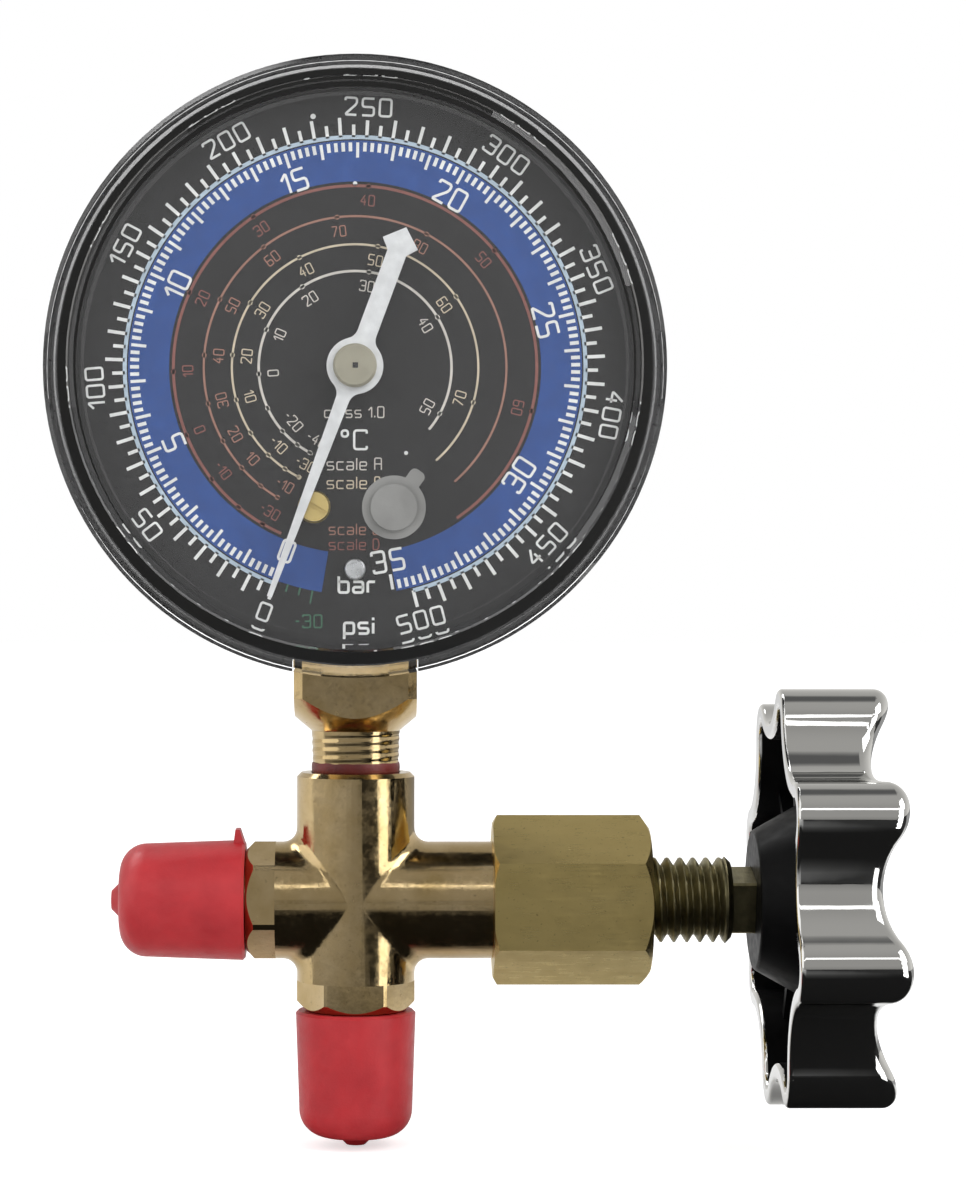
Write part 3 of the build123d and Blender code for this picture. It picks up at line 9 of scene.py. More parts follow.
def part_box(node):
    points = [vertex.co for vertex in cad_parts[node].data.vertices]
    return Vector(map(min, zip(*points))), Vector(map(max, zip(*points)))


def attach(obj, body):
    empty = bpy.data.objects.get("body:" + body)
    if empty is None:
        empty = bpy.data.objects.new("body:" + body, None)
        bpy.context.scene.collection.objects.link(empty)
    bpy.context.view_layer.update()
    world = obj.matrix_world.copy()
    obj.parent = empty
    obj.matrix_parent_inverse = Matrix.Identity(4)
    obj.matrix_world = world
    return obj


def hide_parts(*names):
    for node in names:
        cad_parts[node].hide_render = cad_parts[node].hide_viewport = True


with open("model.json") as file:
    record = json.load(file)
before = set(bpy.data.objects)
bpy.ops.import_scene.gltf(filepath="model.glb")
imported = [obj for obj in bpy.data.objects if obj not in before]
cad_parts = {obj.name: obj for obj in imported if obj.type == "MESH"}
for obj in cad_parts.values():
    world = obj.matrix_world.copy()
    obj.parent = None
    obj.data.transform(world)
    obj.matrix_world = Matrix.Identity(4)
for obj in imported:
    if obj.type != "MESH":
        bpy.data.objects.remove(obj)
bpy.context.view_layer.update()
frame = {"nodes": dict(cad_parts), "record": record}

NODES = frame["nodes"]

# Places and sizes repeated from the model, in millimetres
CROSS_Z = 26.0
DIAL_Z = 86.7
DIAL_FRONT = -10.5
BUSH_FRONT = -14.1

# The dial's scales: degrees are counted clockwise from straight down
PSI_ZERO = 20.4
DEGREES_PER_PSI = 0.65
PSI_PER_BAR = 14.504
PRINT_THICKNESS = 0.03

# The handwheel's plating, in metres: from this radius outward, and on the back edge up to this place. Deeper
# in, the hollow is painted black as shade
PLATED_FROM = 0.014
RIM_EDGE = 0.049

# The inside of the cover's wall lies within this radius, in metres
COVER_WALL = 0.0306


def srgb(red, green, blue):
    """A colour given as 0 to 255 values, in Blender's linear numbers."""
    def linear(value):
        share = value / 255
        return share / 12.92 if share <= 0.04045 else ((share + 0.055) / 1.055) ** 2.4
    return (linear(red), linear(green), linear(blue), 1.0)


class Recipe:
    """A material's node tree, with short calls for its nodes. Patterns are scaled per millimetre."""

    def __init__(self, name, color, metallic=0.0, roughness=0.5, sockets=None):
        self.material = bpy.data.materials.new(name)
        self.material.use_nodes = True
        self.tree = self.material.node_tree
        self.shader = self.tree.nodes["Principled BSDF"]
        self.set("Base Color", color)
        self.set("Metallic", metallic)
        self.set("Roughness", roughness)
        for socket, value in (sockets or {}).items():
            self.set(socket, value)

    def set(self, socket, value):
        self.shader.inputs[socket].default_value = value

    def node(self, kind, inputs=None, **settings):
        made = self.tree.nodes.new(kind)
        for key, value in settings.items():
            setattr(made, key, value)
        for key, value in (inputs or {}).items():
            if isinstance(value, bpy.types.NodeSocket):
                self.tree.links.new(value, made.inputs[key])
            else:
                made.inputs[key].default_value = value
        return made

    def place(self, stretch=(1, 1, 1)):
        where = self.node("ShaderNodeTexCoord").outputs["Object"]
        scale = [1000 * share for share in stretch]
        return self.node("ShaderNodeMapping", {"Vector": where, "Scale": scale}).outputs["Vector"]

    def noise(self, scale, detail=3.0, stretch=(1, 1, 1), roughness=0.5, distortion=0.0):
        inputs = {"Vector": self.place(stretch), "Scale": scale, "Detail": detail}
        inputs["Roughness"] = roughness
        inputs["Distortion"] = distortion
        return self.node("ShaderNodeTexNoise", inputs).outputs["Fac"]

    def span(self, value, low, high, to_low=0.0, to_high=1.0):
        inputs = {"Value": value, "From Min": low, "From Max": high, "To Min": to_low, "To Max": to_high}
        return self.node("ShaderNodeMapRange", inputs, clamp=True).outputs["Result"]

    def math(self, operation, first, second=0.0):
        return self.node("ShaderNodeMath", {0: first, 1: second}, operation=operation).outputs[0]

    def mix(self, share, first, second):
        made = self.node("ShaderNodeMix", data_type="RGBA")
        for index, value in ((0, share), (6, first), (7, second)):
            if isinstance(value, bpy.types.NodeSocket):
                self.tree.links.new(value, made.inputs[index])
            else:
                made.inputs[index].default_value = value
        return made.outputs[2]

    def color(self, value):
        self.tree.links.new(value, self.shader.inputs["Base Color"])

    def roughness(self, value):
        self.tree.links.new(value, self.shader.inputs["Roughness"])

    def bump(self, height, distance, strength=1.0):
        """Adds a bump whose distance is in millimetres, on top of any earlier one."""
        inputs = {"Height": height, "Distance": distance / 1000, "Strength": strength}
        earlier = self.shader.inputs["Normal"].links
        if earlier:
            inputs["Normal"] = earlier[0].from_socket
        made = self.node("ShaderNodeBump", inputs)
        self.tree.links.new(made.outputs["Normal"], self.shader.inputs["Normal"])


def brass(name, light, dark, roughness, lines, depth=0.01, cloud_stretch=(1, 1, 1)):
    """Machined brass: cloudy tarnish, fine tool lines along the stretch, a few darker specks."""
    made = Recipe(name, light, metallic=1.0, roughness=roughness)
    cloud = made.span(made.noise(0.22, 4, stretch=cloud_stretch), 0.35, 0.7)
    specks = made.span(made.noise(2.6, 2), 0.66, 0.74)
    tone = made.mix(cloud, light, dark)
    made.color(made.mix(made.math("MULTIPLY", specks, 0.35), tone, srgb(70, 55, 30)))
    tool = made.noise(1.6, 3, stretch=lines, roughness=0.65)
    worn = made.span(made.noise(0.5, 3), 0.3, 0.8, -0.06, 0.08)
    made.roughness(made.math("ADD", made.span(tool, 0.3, 0.7, roughness - 0.07, roughness + 0.09), worn))
    made.bump(tool, depth)
    made.bump(made.noise(0.35, 3), 0.06, 0.5)
    return made.material


def steel(name, color, roughness, lines=(1, 1, 1)):
    """Plated or oxidised steel with faint tool lines."""
    made = Recipe(name, color, metallic=1.0, roughness=roughness)
    tool = made.noise(1.8, 3, stretch=lines)
    dull = tuple(0.6 * part for part in color[:3]) + (1.0,)
    made.color(made.mix(made.span(made.noise(0.8, 4), 0.4, 0.75), color, dull))
    made.roughness(made.span(tool, 0.3, 0.7, roughness - 0.06, roughness + 0.1))
    made.bump(tool, 0.012)
    return made.material


def chrome():
    """Mirror chrome with the slightest orange peel and a few dust marks."""
    made = Recipe("chrome_plate", srgb(228, 228, 226), metallic=1.0, roughness=0.05)
    smear = made.noise(0.12, 4, distortion=0.8)
    made.roughness(made.span(smear, 0.45, 0.75, 0.035, 0.11))
    made.bump(made.noise(0.18, 2), 0.05, 0.5)
    return made.material


def soft_plastic(name, color, deep, roughness, grain=0.01, shine=0.5):
    """Moulded plastic or rubber with uneven colour and a fine skin."""
    made = Recipe(name, color, roughness=roughness, sockets={"Specular IOR Level": shine})
    made.color(made.mix(made.span(made.noise(0.25, 3), 0.35, 0.7), color, deep))
    made.roughness(made.span(made.noise(0.9, 3), 0.3, 0.7, roughness - 0.06, roughness + 0.08))
    made.bump(made.noise(4.0, 2), grain)
    return made.material


def paint(name, color, roughness, grain=0.002, shine=0.5):
    """Printed or painted metal with a faint speckle."""
    made = Recipe(name, color, roughness=roughness, sockets={"Specular IOR Level": shine})
    lighter = tuple(min(1.0, 1.2 * part + 0.001) for part in color[:3]) + (1.0,)
    made.color(made.mix(made.span(made.noise(0.6, 5), 0.4, 0.72), color, lighter))
    made.roughness(made.span(made.noise(1.4, 2), 0.3, 0.7, roughness - 0.05, roughness + 0.07))
    made.bump(made.noise(6.0, 2), grain)
    return made.material


def clear_plastic(name, ior=1.45):
    """Clear moulded plastic that lets the light through to the dial."""
    sockets = {"Transmission Weight": 1.0, "IOR": ior}
    made = Recipe(name, (1.0, 1.0, 1.0, 1.0), sockets=sockets)
    made.roughness(made.span(made.noise(0.1, 3), 0.5, 0.8, 0.0, 0.03))
    tree = made.tree
    shadow = made.node("ShaderNodeLightPath").outputs["Is Shadow Ray"]
    see_through = made.node("ShaderNodeBsdfTransparent")
    both = made.node("ShaderNodeMixShader")
    tree.links.new(shadow, both.inputs[0])
    tree.links.new(made.shader.outputs[0], both.inputs[1])
    tree.links.new(see_through.outputs[0], both.inputs[2])
    tree.links.new(both.outputs[0], tree.nodes["Material Output"].inputs["Surface"])
    return made.material


MATERIALS = {
    "body_brass": brass("body_brass", srgb(210, 186, 142), srgb(192, 166, 116), 0.15, (1, 1, 1), 0.0006),
    "bonnet_brass": brass(
        "bonnet_brass", srgb(214, 192, 128), srgb(204, 182, 118), 0.34, (0.15, 3, 3), 0.0008, (0.4, 1, 1)
    ),
    "copper_seal": brass("copper_seal", srgb(200, 140, 105), srgb(170, 110, 80), 0.4, (1, 1, 1)),
    "dark_steel": steel("dark_steel", srgb(150, 142, 108), 0.4, (4, 0.3, 0.3)),
    "black_rubber": soft_plastic("black_rubber", srgb(28, 28, 28), srgb(20, 20, 20), 0.6),
    "white_seal": soft_plastic("white_seal", srgb(235, 235, 230), srgb(220, 220, 212), 0.5),
    "chrome_plate": chrome(),
    # Painted shade: a black for the deep hollow and the hub of the handwheel
    "painted_shade_black": soft_plastic(
        "painted_shade_black", srgb(15, 15, 16), srgb(10, 10, 11), 0.42, grain=0.004, shine=0.12
    ),
    "zinc_steel": steel("zinc_steel", srgb(190, 192, 194), 0.28),
    "red_vinyl": soft_plastic("red_vinyl", srgb(198, 48, 54), srgb(182, 40, 47), 0.40, grain=0.02),
    "red_sealant": soft_plastic("red_sealant", srgb(116, 34, 30), srgb(84, 22, 20), 0.4, grain=0.05),
    "black_paint": paint("black_paint", srgb(30, 30, 32), 0.3),
    "clear_cover": clear_plastic("clear_cover"),
    "clear_wall": clear_plastic("clear_wall", ior=1.0),
    "grey_rubber": soft_plastic("grey_rubber", srgb(148, 148, 146), srgb(134, 134, 132), 0.5),
    "dial_black": paint("dial_black", srgb(34, 34, 35), 0.6, grain=0.0008, shine=0.2),
    "white_paint": paint("white_paint", srgb(214, 216, 217), 0.45),
    "pale_bush": soft_plastic("pale_bush", srgb(160, 156, 138), srgb(146, 142, 124), 0.38),
    "bronze_strip": brass("bronze_strip", srgb(200, 160, 100), srgb(170, 130, 80), 0.3, (1, 1, 1)),
    "print_white": paint("print_white", srgb(222, 224, 222), 0.5),
    "print_ring": paint("print_ring", srgb(172, 190, 204), 0.5),
    "print_blue": paint("print_blue", srgb(38, 73, 138), 0.55, shine=0.25),
    "print_cream": paint("print_cream", srgb(196, 184, 160), 0.5),
    "print_pale": paint("print_pale", srgb(200, 196, 188), 0.5),
    "print_tan": paint("print_tan", srgb(150, 108, 92), 0.5),
    "print_red": paint("print_red", srgb(126, 74, 66), 0.5),
    "print_green": paint("print_green", srgb(42, 96, 70), 0.5),
}


def dress_nodes():
    """Every carried-over node gets the material of its slot."""
    slots = {part["node"]: part["material_slot"] for part in frame["record"]["subparts"]}
    for name, piece in NODES.items():
        material = MATERIALS[slots[name]]
        if not piece.material_slots:
            piece.data.materials.append(material)
        for place in piece.material_slots:
            place.material = material


def blacken_handwheel():
    """The plating covers the handwheel's outside. Deeper in, its hollow back and its hub are painted black
    as shade.
    """
    wheel = NODES["handwheel"]
    wheel.data.materials.append(MATERIALS["painted_shade_black"])
    axis_z = CROSS_Z / 1000
    for face in wheel.data.polygons:
        outward = Vector((0, face.center.y, face.center.z - axis_z))
        reach = outward.length
        facing_out = face.normal.dot(outward.normalized()) > 0.15 and reach > PLATED_FROM
        on_rim = face.center.x < RIM_EDGE and reach > PLATED_FROM
        if not (face.normal.x > 0.5 or facing_out or on_rim):
            # Painted shade: these inner faces get the black material
            face.material_index = 1


def dress_cover():
    """The inside of the cover's wall mirrors next to nothing, so the dial shows once."""
    cover = NODES["lens_cover"]
    cover.data.materials.append(MATERIALS["clear_wall"])
    for face in cover.data.polygons:
        outward = Vector((face.center.x, 0, face.center.z - DIAL_Z / 1000))
        if outward.length < COVER_WALL and face.normal.dot(outward.normalized()) < -0.9:
            face.material_index = 1


def new_piece(name, mesh, material, body, replaces=(), crease=35):
    """A mesh as a piece of the object, smooth except at sharp edges, riding on a body."""
    mesh.materials.clear()
    mesh.materials.append(MATERIALS[material])
    if "custom_normal" in mesh.attributes:
        mesh.attributes.remove(mesh.attributes["custom_normal"])
    mesh.shade_smooth()
    mesh.set_sharp_from_angle(angle=math.radians(crease))
    piece = bpy.data.objects.new(name, mesh)
    bpy.context.scene.collection.objects.link(piece)
    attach(piece, body)
    if replaces:
        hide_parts(*replaces)
    return piece


def on_dial(radius, clock):
    """A place on the dial from its middle, for an angle clockwise from straight down."""
    angle = math.radians(clock)
    return Vector((-radius * math.sin(angle), -radius * math.cos(angle)))


def psi_clock(psi):
    """The angle of a pressure on the outer scale."""
    return PSI_ZERO + DEGREES_PER_PSI * psi


class Print:
    """Flat lines of one colour, all in one thin closed mesh on the dial."""

    def __init__(self, front=DIAL_FRONT - PRINT_THICKNESS):
        self.mesh = bmesh.new()
        self.front = front

    def ribbon(self, points, width, closed=False):
        """A line of even width through points, with mitred corners."""
        count = len(points)
        sides = []
        for index, point in enumerate(points):
            before = points[index - 1] if closed or index else None
            after = points[(index + 1) % count] if closed or index < count - 1 else None
            ways = [(point - before).normalized()] if before is not None else []
            ways += [(after - point).normalized()] if after is not None else []
            across = sum((Vector((-way.y, way.x)) for way in ways), Vector((0, 0))) / len(ways)
            across = across / max(across.length_squared, 0.3)
            sides.append((point + across * width / 2, point - across * width / 2))
        layers = []
        for depth in (self.front, self.front + PRINT_THICKNESS):
            layers.append([[self.vertex(place, depth) for place in pair] for pair in sides])
        front, back = layers
        steps = range(count) if closed else range(count - 1)
        for index in steps:
            following = (index + 1) % count
            a, b = front[index], front[following]
            c, d = back[index], back[following]
            self.face(a[0], b[0], b[1], a[1])
            self.face(c[1], d[1], d[0], c[0])
            self.face(a[0], c[0], d[0], b[0])
            self.face(b[1], d[1], c[1], a[1])
        if not closed:
            self.face(front[0][0], front[0][1], back[0][1], back[0][0])
            self.face(front[-1][1], front[-1][0], back[-1][0], back[-1][1])

    def vertex(self, place, depth):
        return self.mesh.verts.new((place.x / 1000, depth / 1000, (DIAL_Z + place.y) / 1000))

    def face(self, *corners):
        self.mesh.faces.new(corners)

    def arc(self, radius, first, last, width):
        """An arc between two clock angles."""
        steps = max(2, int(abs(last - first) / 2))
        full = abs(last - first) >= 360
        count = steps if full else steps + 1
        points = [on_dial(radius, first + (last - first) * index / steps) for index in range(count)]
        self.ribbon(points, width, closed=full)

    def tick(self, clock, inner, outer, width):
        self.ribbon([on_dial(inner, clock), on_dial(outer, clock)], width)

    def dot(self, radius, clock, size):
        """A small round dot."""
        middle = on_dial(radius, clock)
        points = [middle + on_dial(size / 4, 45 * index) for index in range(8)]
        self.ribbon(points, size / 2, closed=True)

    def word(self, text, middle, height, turn=0.0, stroke=0.25, spread=1.0):
        """Draws text centred on a place, turned anticlockwise by degrees."""
        advance = [GLYPH_WIDTHS.get(letter, 4) + 2 for letter in text]
        total = sum(advance) - 2
        scale = height / 6
        left = -total / 2
        spin = Matrix.Rotation(math.radians(turn), 2)
        for letter, step in zip(text, advance):
            for path in GLYPHS.get(letter, ()):
                closed = path.endswith("*")
                corners = [Vector((int(pair[0]), int(pair[1]) - 5)) for pair in path.split() if pair != "*"]
                points = rounded(corners, 0.9, closed)
                flat = [Vector(((left + point.x) * scale * spread, point.y * scale)) for point in points]
                self.ribbon([middle + spin @ place for place in flat], stroke, closed)
            left += step

    def scale_word(self, text, radius, clock, height, stroke=0.25, spread=1.0):
        """Text on a scale, with its foot towards the middle on the upper half and away from it low down."""
        low_down = clock < 75 or clock > 285
        turn = -clock if low_down else 180 - clock
        self.word(text, on_dial(radius, clock), height, turn, stroke, spread)

    def finish(self, name, material, body="base"):
        bmesh.ops.recalc_face_normals(self.mesh, faces=self.mesh.faces)
        mesh = bpy.data.meshes.new(name)
        self.mesh.to_mesh(mesh)
        self.mesh.free()
        return new_piece(name, mesh, material, body, crease=20)


# Stroke letters: points are column and row on a grid, with the foot on row 2 and capitals up to row 8
GLYPHS = {
    "0": ("02 42 48 08 *",),
    "1": ("06 28 22",),
    "2": ("07 08 48 46 02 42",),
    "3": ("07 08 48 45 15", "45 42 02 03"),
    "4": ("38 04 44", "36 32"),
    "5": ("48 08 05 45 42 02",),
    "6": ("48 08 02 42 45 05",),
    "7": ("08 48 12",),
    "8": ("05 08 48 45 *", "05 45 42 02 *"),
    "9": ("45 05 08 48 42 02",),
    "-": ("05 25",),
    ".": ("02 03",),
    "°": ("06 26 28 08 *",),
    "C": ("47 48 08 02 42 43",),
    "b": ("08 02 42 46 06",),
    "a": ("06 46 42 02 04 44",),
    "r": ("02 06 36",),
    "p": ("00 06 46 42 02",),
    "s": ("46 06 04 44 42 02",),
    "i": ("02 06", "07 08"),
    "c": ("46 06 02 42",),
    "l": ("08 02",),
    "e": ("04 44 46 06 02 42",),
    "A": ("02 08 48 42", "05 45"),
    "B": ("02 08 38 35 *", "05 45 42 02"),
    "D": ("02 08 38 45 32 *",),
}
GLYPH_WIDTHS = {"1": 2, "-": 2, ".": 0, "°": 2, "i": 0, "l": 0, "r": 3, " ": 1}


def rounded(corners, radius, closed):
    """The corners of a path with each one cut into a short curve."""
    count = len(corners)
    points = []
    for index, corner in enumerate(corners):
        if not closed and index in (0, count - 1):
            points.append(corner)
            continue
        before = corners[index - 1] - corner
        after = corners[(index + 1) % count] - corner
        reach = min(radius, before.length / 2, after.length / 2)
        start = corner + before.normalized() * reach
        end = corner + after.normalized() * reach
        for share in (0, 0.3, 0.7, 1):
            points.append(start.lerp(corner, share).lerp(corner.lerp(end, share), share))
    return points


def vapour_clock(celsius, zero_psi):
    """Where a temperature sits on the scale, from the vapour pressure in psi at freezing point."""
    pressure = zero_psi * math.exp(2370 * (1 / 273.15 - 1 / (celsius + 273.15)))
    return psi_clock(pressure - 14.5)


def print_dial():
    """Everything printed on the dial."""
    ring = Print()
    ring.arc(25.8, 20.4, 345.4, 0.45)
    ring.finish("scale_ring", "print_ring")

    band = Print(DIAL_FRONT - PRINT_THICKNESS / 2)
    band.arc(23.13, 8.4, 349.6, 4.6)
    band.finish("bar_band", "print_blue")

    psi = Print()
    for step in range(101):
        long_tick = step % 2 == 0
        outer = 27.7 if step % 10 == 0 else 28.0 if long_tick else 27.2
        psi.tick(psi_clock(5 * step), 25.8, outer, 0.38)
    for value in range(0, 501, 50):
        psi.scale_word(str(value), 29.2, psi_clock(value), 1.9, 0.26, 1.02)
    psi.word("psi", Vector((0.4, -28.9)), 1.8, 0, 0.3, 0.9)
    psi.word("bar", Vector((0.2, -24.3)), 1.8, 0, 0.3, 0.9)
    psi.word("°C", Vector((-0.1, -8.1)), 2.1, 0, 0.26)
    for radius, clock, size in ((28.5, 170.5, 0.6), (20.6, 180.0, 0.5), (11.15, 329.2, 0.45)):
        psi.dot(radius, clock, size)
    psi.finish("psi_scale", "print_white")

    bar = Print(DIAL_FRONT - PRINT_THICKNESS)
    for step in range(5 * 35 + 1):
        long_tick = step % 5 == 0
        clock = psi_clock(step / 5 * PSI_PER_BAR)
        bar.tick(clock, 23.5 if long_tick else 24.2, 25.2, 0.34 if long_tick else 0.4)
    for value in range(0, 36, 5):
        bar.scale_word(str(value), 21.95, psi_clock(value * PSI_PER_BAR), 2.3, 0.3, 0.9)
    bar.finish("bar_scale", "print_white")

    arcs = (
        ("outer_temperatures", "print_red", 20.35, 88.0, 24.0, 326.0, 0.32, range(-50, 61, 10)),
        ("third_temperatures", "print_tan", 16.95, 42.5, 30.0, 319.0, 0.24, range(-20, 81, 10)),
        ("second_temperatures", "print_cream", 13.8, 72.2, 27.0, 319.0, 0.24, range(-30, 71, 10)),
        ("inner_temperatures", "print_pale", 10.8, 115.6, 26.0, 310.0, 0.28, range(-40, 51, 10)),
    )
    for name, ink, radius, zero_psi, first, last, width, degrees in arcs:
        scale = Print()
        scale.arc(radius, first, last, width)
        room = math.degrees(3.4 / radius)
        free_from = first
        for celsius in degrees:
            clock = vapour_clock(celsius, zero_psi)
            if not first < clock < last:
                continue
            scale.dot(radius, clock, 0.55)
            if clock >= free_from:
                scale.scale_word(str(celsius), radius - 1.6, clock, 1.15, 0.13, 0.8)
                free_from = clock + room
        scale.finish(name, ink)

    notes = (
        ("class_note", "print_pale", "class 1.0", 5.0, 1.2),
        ("scale_a_note", "print_pale", "scale A", 10.8, 1.3),
        ("scale_b_note", "print_cream", "scale B", 12.9, 1.3),
        ("scale_c_note", "print_tan", "scale C", 18.1, 1.2),
        ("scale_d_note", "print_red", "scale D", 19.8, 1.2),
    )
    for name, ink, text, below, height in notes:
        note = Print()
        note.word(text, Vector((-0.1, -below)), height, 0, 0.14, 0.85)
        note.finish(name, ink)

    tip = Print(BUSH_FRONT - PRINT_THICKNESS)
    tip.ribbon([Vector((0.05, 0.3)), Vector((0.05, -0.3))], 0.6)
    tip.finish("arbor_tip", "black_rubber", "pointer_body")

    vacuum = Print()
    for inches in (10, 20, 30):
        vacuum.tick(PSI_ZERO - inches * 0.32, 25.4, 26.9 if inches == 30 else 26.3, 0.2)
    vacuum.word("-30", on_dial(28.9, 10.4), 1.4, 0, 0.18, 0.9)
    vacuum.finish("vacuum_scale", "print_green")


def thread_round(share):
    """The height of a thread's flank, from 0 at the root to 1 at the crest."""
    ridge = 1 - 2 * abs(share - 0.5)
    return min(1.0, max(0.0, 1.3 * ridge - 0.12))


def cut_thread(mesh, turn_to_z, low, high, crest, root, pitch, taper=0.0):
    """Cuts a helical thread in the plain wall between two heights. The crest is the high end's radius."""
    back = turn_to_z.inverted()
    mesh.transform(turn_to_z)
    for height in (low, high):
        geometry = mesh.verts[:] + mesh.edges[:] + mesh.faces[:]
        bmesh.ops.bisect_plane(mesh, geom=geometry, plane_co=(0, 0, height / 1000), plane_no=(0, 0, 1))
    wall = []
    for face in mesh.faces:
        middle = face.calc_center_median() * 1000
        reach = math.hypot(middle.x, middle.y)
        if low < middle.z < high and root - 0.4 < reach < crest + 0.2:
            wall.append(face)
    bmesh.ops.delete(mesh, geom=wall, context="FACES")
    around = 72
    rows = int((high - low) / pitch * 14)
    rings = []
    for row in range(rows + 1):
        height = low + (high - low) * row / rows
        run_out = min(1.0, 2.5 * min(row, rows - row) / 14)
        wall_radius = crest - taper * (high - height)
        ring = []
        for step in range(around):
            turn = step / around
            ridge = thread_round((height / pitch - turn) % 1.0)
            radius = wall_radius - (crest - root) * (1 - ridge) * run_out
            angle = 2 * math.pi * turn
            place = Vector((radius * math.cos(angle), radius * math.sin(angle), height))
            ring.append(mesh.verts.new(place / 1000))
        rings.append(ring)
    for lower, upper in zip(rings, rings[1:]):
        for step in range(around):
            following = (step + 1) % around
            mesh.faces.new((lower[step], lower[following], upper[following], upper[step]))
    mesh.transform(back)


def slice_across(mesh, axis, middle, reach):
    """Cuts long faces across an axis into short ones, so that shading stays true next to a blend."""
    for step in range(-reach, reach + 1):
        place = Vector((0, 0, 0))
        place[axis] = (middle + step) / 1000
        normal = Vector((0, 0, 0))
        normal[axis] = 1
        geometry = mesh.verts[:] + mesh.edges[:] + mesh.faces[:]
        bmesh.ops.bisect_plane(mesh, geom=geometry, plane_co=place, plane_no=normal)


def threaded_piece(name, node, material, body, threads, slices=()):
    """A copy of a node's shape with its plain thread walls cut as threads."""
    mesh = bmesh.new()
    mesh.from_mesh(NODES[node].data)
    bmesh.ops.remove_doubles(mesh, verts=mesh.verts, dist=1e-7)
    for cut in slices:
        slice_across(mesh, *cut)
    for thread in threads:
        cut_thread(mesh, *thread)
    made = bpy.data.meshes.new(name)
    mesh.to_mesh(made)
    mesh.free()
    return new_piece(name, made, material, body, (node,), 22)


def thread_pieces():
    """The threads of the stem, the gauge's socket and the two ports."""
    along_x = Matrix.Rotation(math.radians(-90), 4, "Y") @ Matrix.Translation((0, 0, -CROSS_Z / 1000))
    upright = Matrix.Identity(4)
    stem = [(along_x, 28.0, 42.6, 4.9, 4.0, 1.5)]
    socket = [(upright, 33.4, 45.4, 5.09, 5.02, 0.94, 1 / 32)]
    ports = [
        (upright, 2.9, 12.2, 5.55, 4.85, 1.27),
        (along_x, -23.1, -13.8, 5.55, 4.85, 1.27),
    ]
    slices = [(0, 0, 14), (2, CROSS_Z, 15)]
    threaded_piece("stem", "valve_stem", "dark_steel", "stem", stem)
    threaded_piece("socket", "gauge_socket", "body_brass", "base", socket)
    threaded_piece("cross", "manifold_body", "body_brass", "base", ports, slices)


def sealant_bead():
    """The bead of sealant squeezed out round the gauge's thread."""
    low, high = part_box("thread_sealant")
    middle_z = low.z
    mesh = bmesh.new()
    around, profile = 96, 10
    rings = []
    for step in range(around):
        angle = 2 * math.pi * step / around
        way = Vector((math.cos(angle), math.sin(angle), 0))
        lump = noise.noise(way * 3.1) * 0.32 + noise.noise(way * 9.0) * 0.14
        ring = []
        for place in range(profile):
            turn = 2 * math.pi * place / profile
            reach = 4.98 + (0.12 + 0.08 * lump) * math.cos(turn)
            height = 0.55 + (0.6 + 0.3 * lump) * math.sin(turn)
            foot = Vector((0, 0, middle_z + max(0.0, height) / 1000))
            ring.append(mesh.verts.new(way * reach / 1000 + foot))
        rings.append(ring)
    for first, second in zip(rings, rings[1:] + rings[:1]):
        for place in range(profile):
            following = (place + 1) % profile
            mesh.faces.new((first[place], second[place], second[following], first[following]))
    bmesh.ops.recalc_face_normals(mesh, faces=mesh.faces)
    made = bpy.data.meshes.new("sealant_bead")
    mesh.to_mesh(made)
    mesh.free()
    new_piece("sealant_bead", made, "red_sealant", "base", ("thread_sealant",), 60)


def floor_material():
    """A pale floor that reads as white and keeps the object's shadow. Metal mirrors it dark in front."""
    pale = (0.86, 0.86, 0.86, 1.0)
    made = Recipe("pale_floor", pale, roughness=0.8, sockets={"Specular IOR Level": 0.0})
    position = made.node("ShaderNodeNewGeometry").outputs["Position"]
    place = made.node("ShaderNodeSeparateXYZ", {0: position}).outputs
    reach = made.node("ShaderNodeVectorMath", {0: position}, operation="LENGTH").outputs["Value"]
    # Painted reflection: only glossy rays see these levels, so metal mirrors the floor dark in front and to
    # the right while the camera sees it pale
    behind = made.span(place["Y"], -0.002, 0.009, 0.012, 1.0)
    behind = made.math("MULTIPLY", behind, made.span(place["X"], 0.10, 0.16, 1.0, 0.35))
    leftward = made.span(place["X"], -0.02, -0.3, 0.3, 0.5)
    ahead = made.math("MULTIPLY", made.span(reach, 0.08, 0.14, 0.05, 1.0), leftward)
    rightward = made.math("ADD", place["X"], made.math("MULTIPLY", place["Y"], 0.12))
    ahead = made.math("MULTIPLY", ahead, made.span(rightward, 0.02, 0.06, 1.0, 0.1))
    path = made.node("ShaderNodeLightPath").outputs
    made.color(made.mix(path["Is Glossy Ray"], pale, made.math("MAXIMUM", behind, ahead)))
    seen = made.math("MAXIMUM", path["Is Camera Ray"], path["Is Transmission Ray"])
    made.set("Emission Color", (1.0, 1.0, 1.0, 1.0))
    made.tree.links.new(made.math("MULTIPLY", seen, 0.6), made.shader.inputs["Emission Strength"])
    return made.material


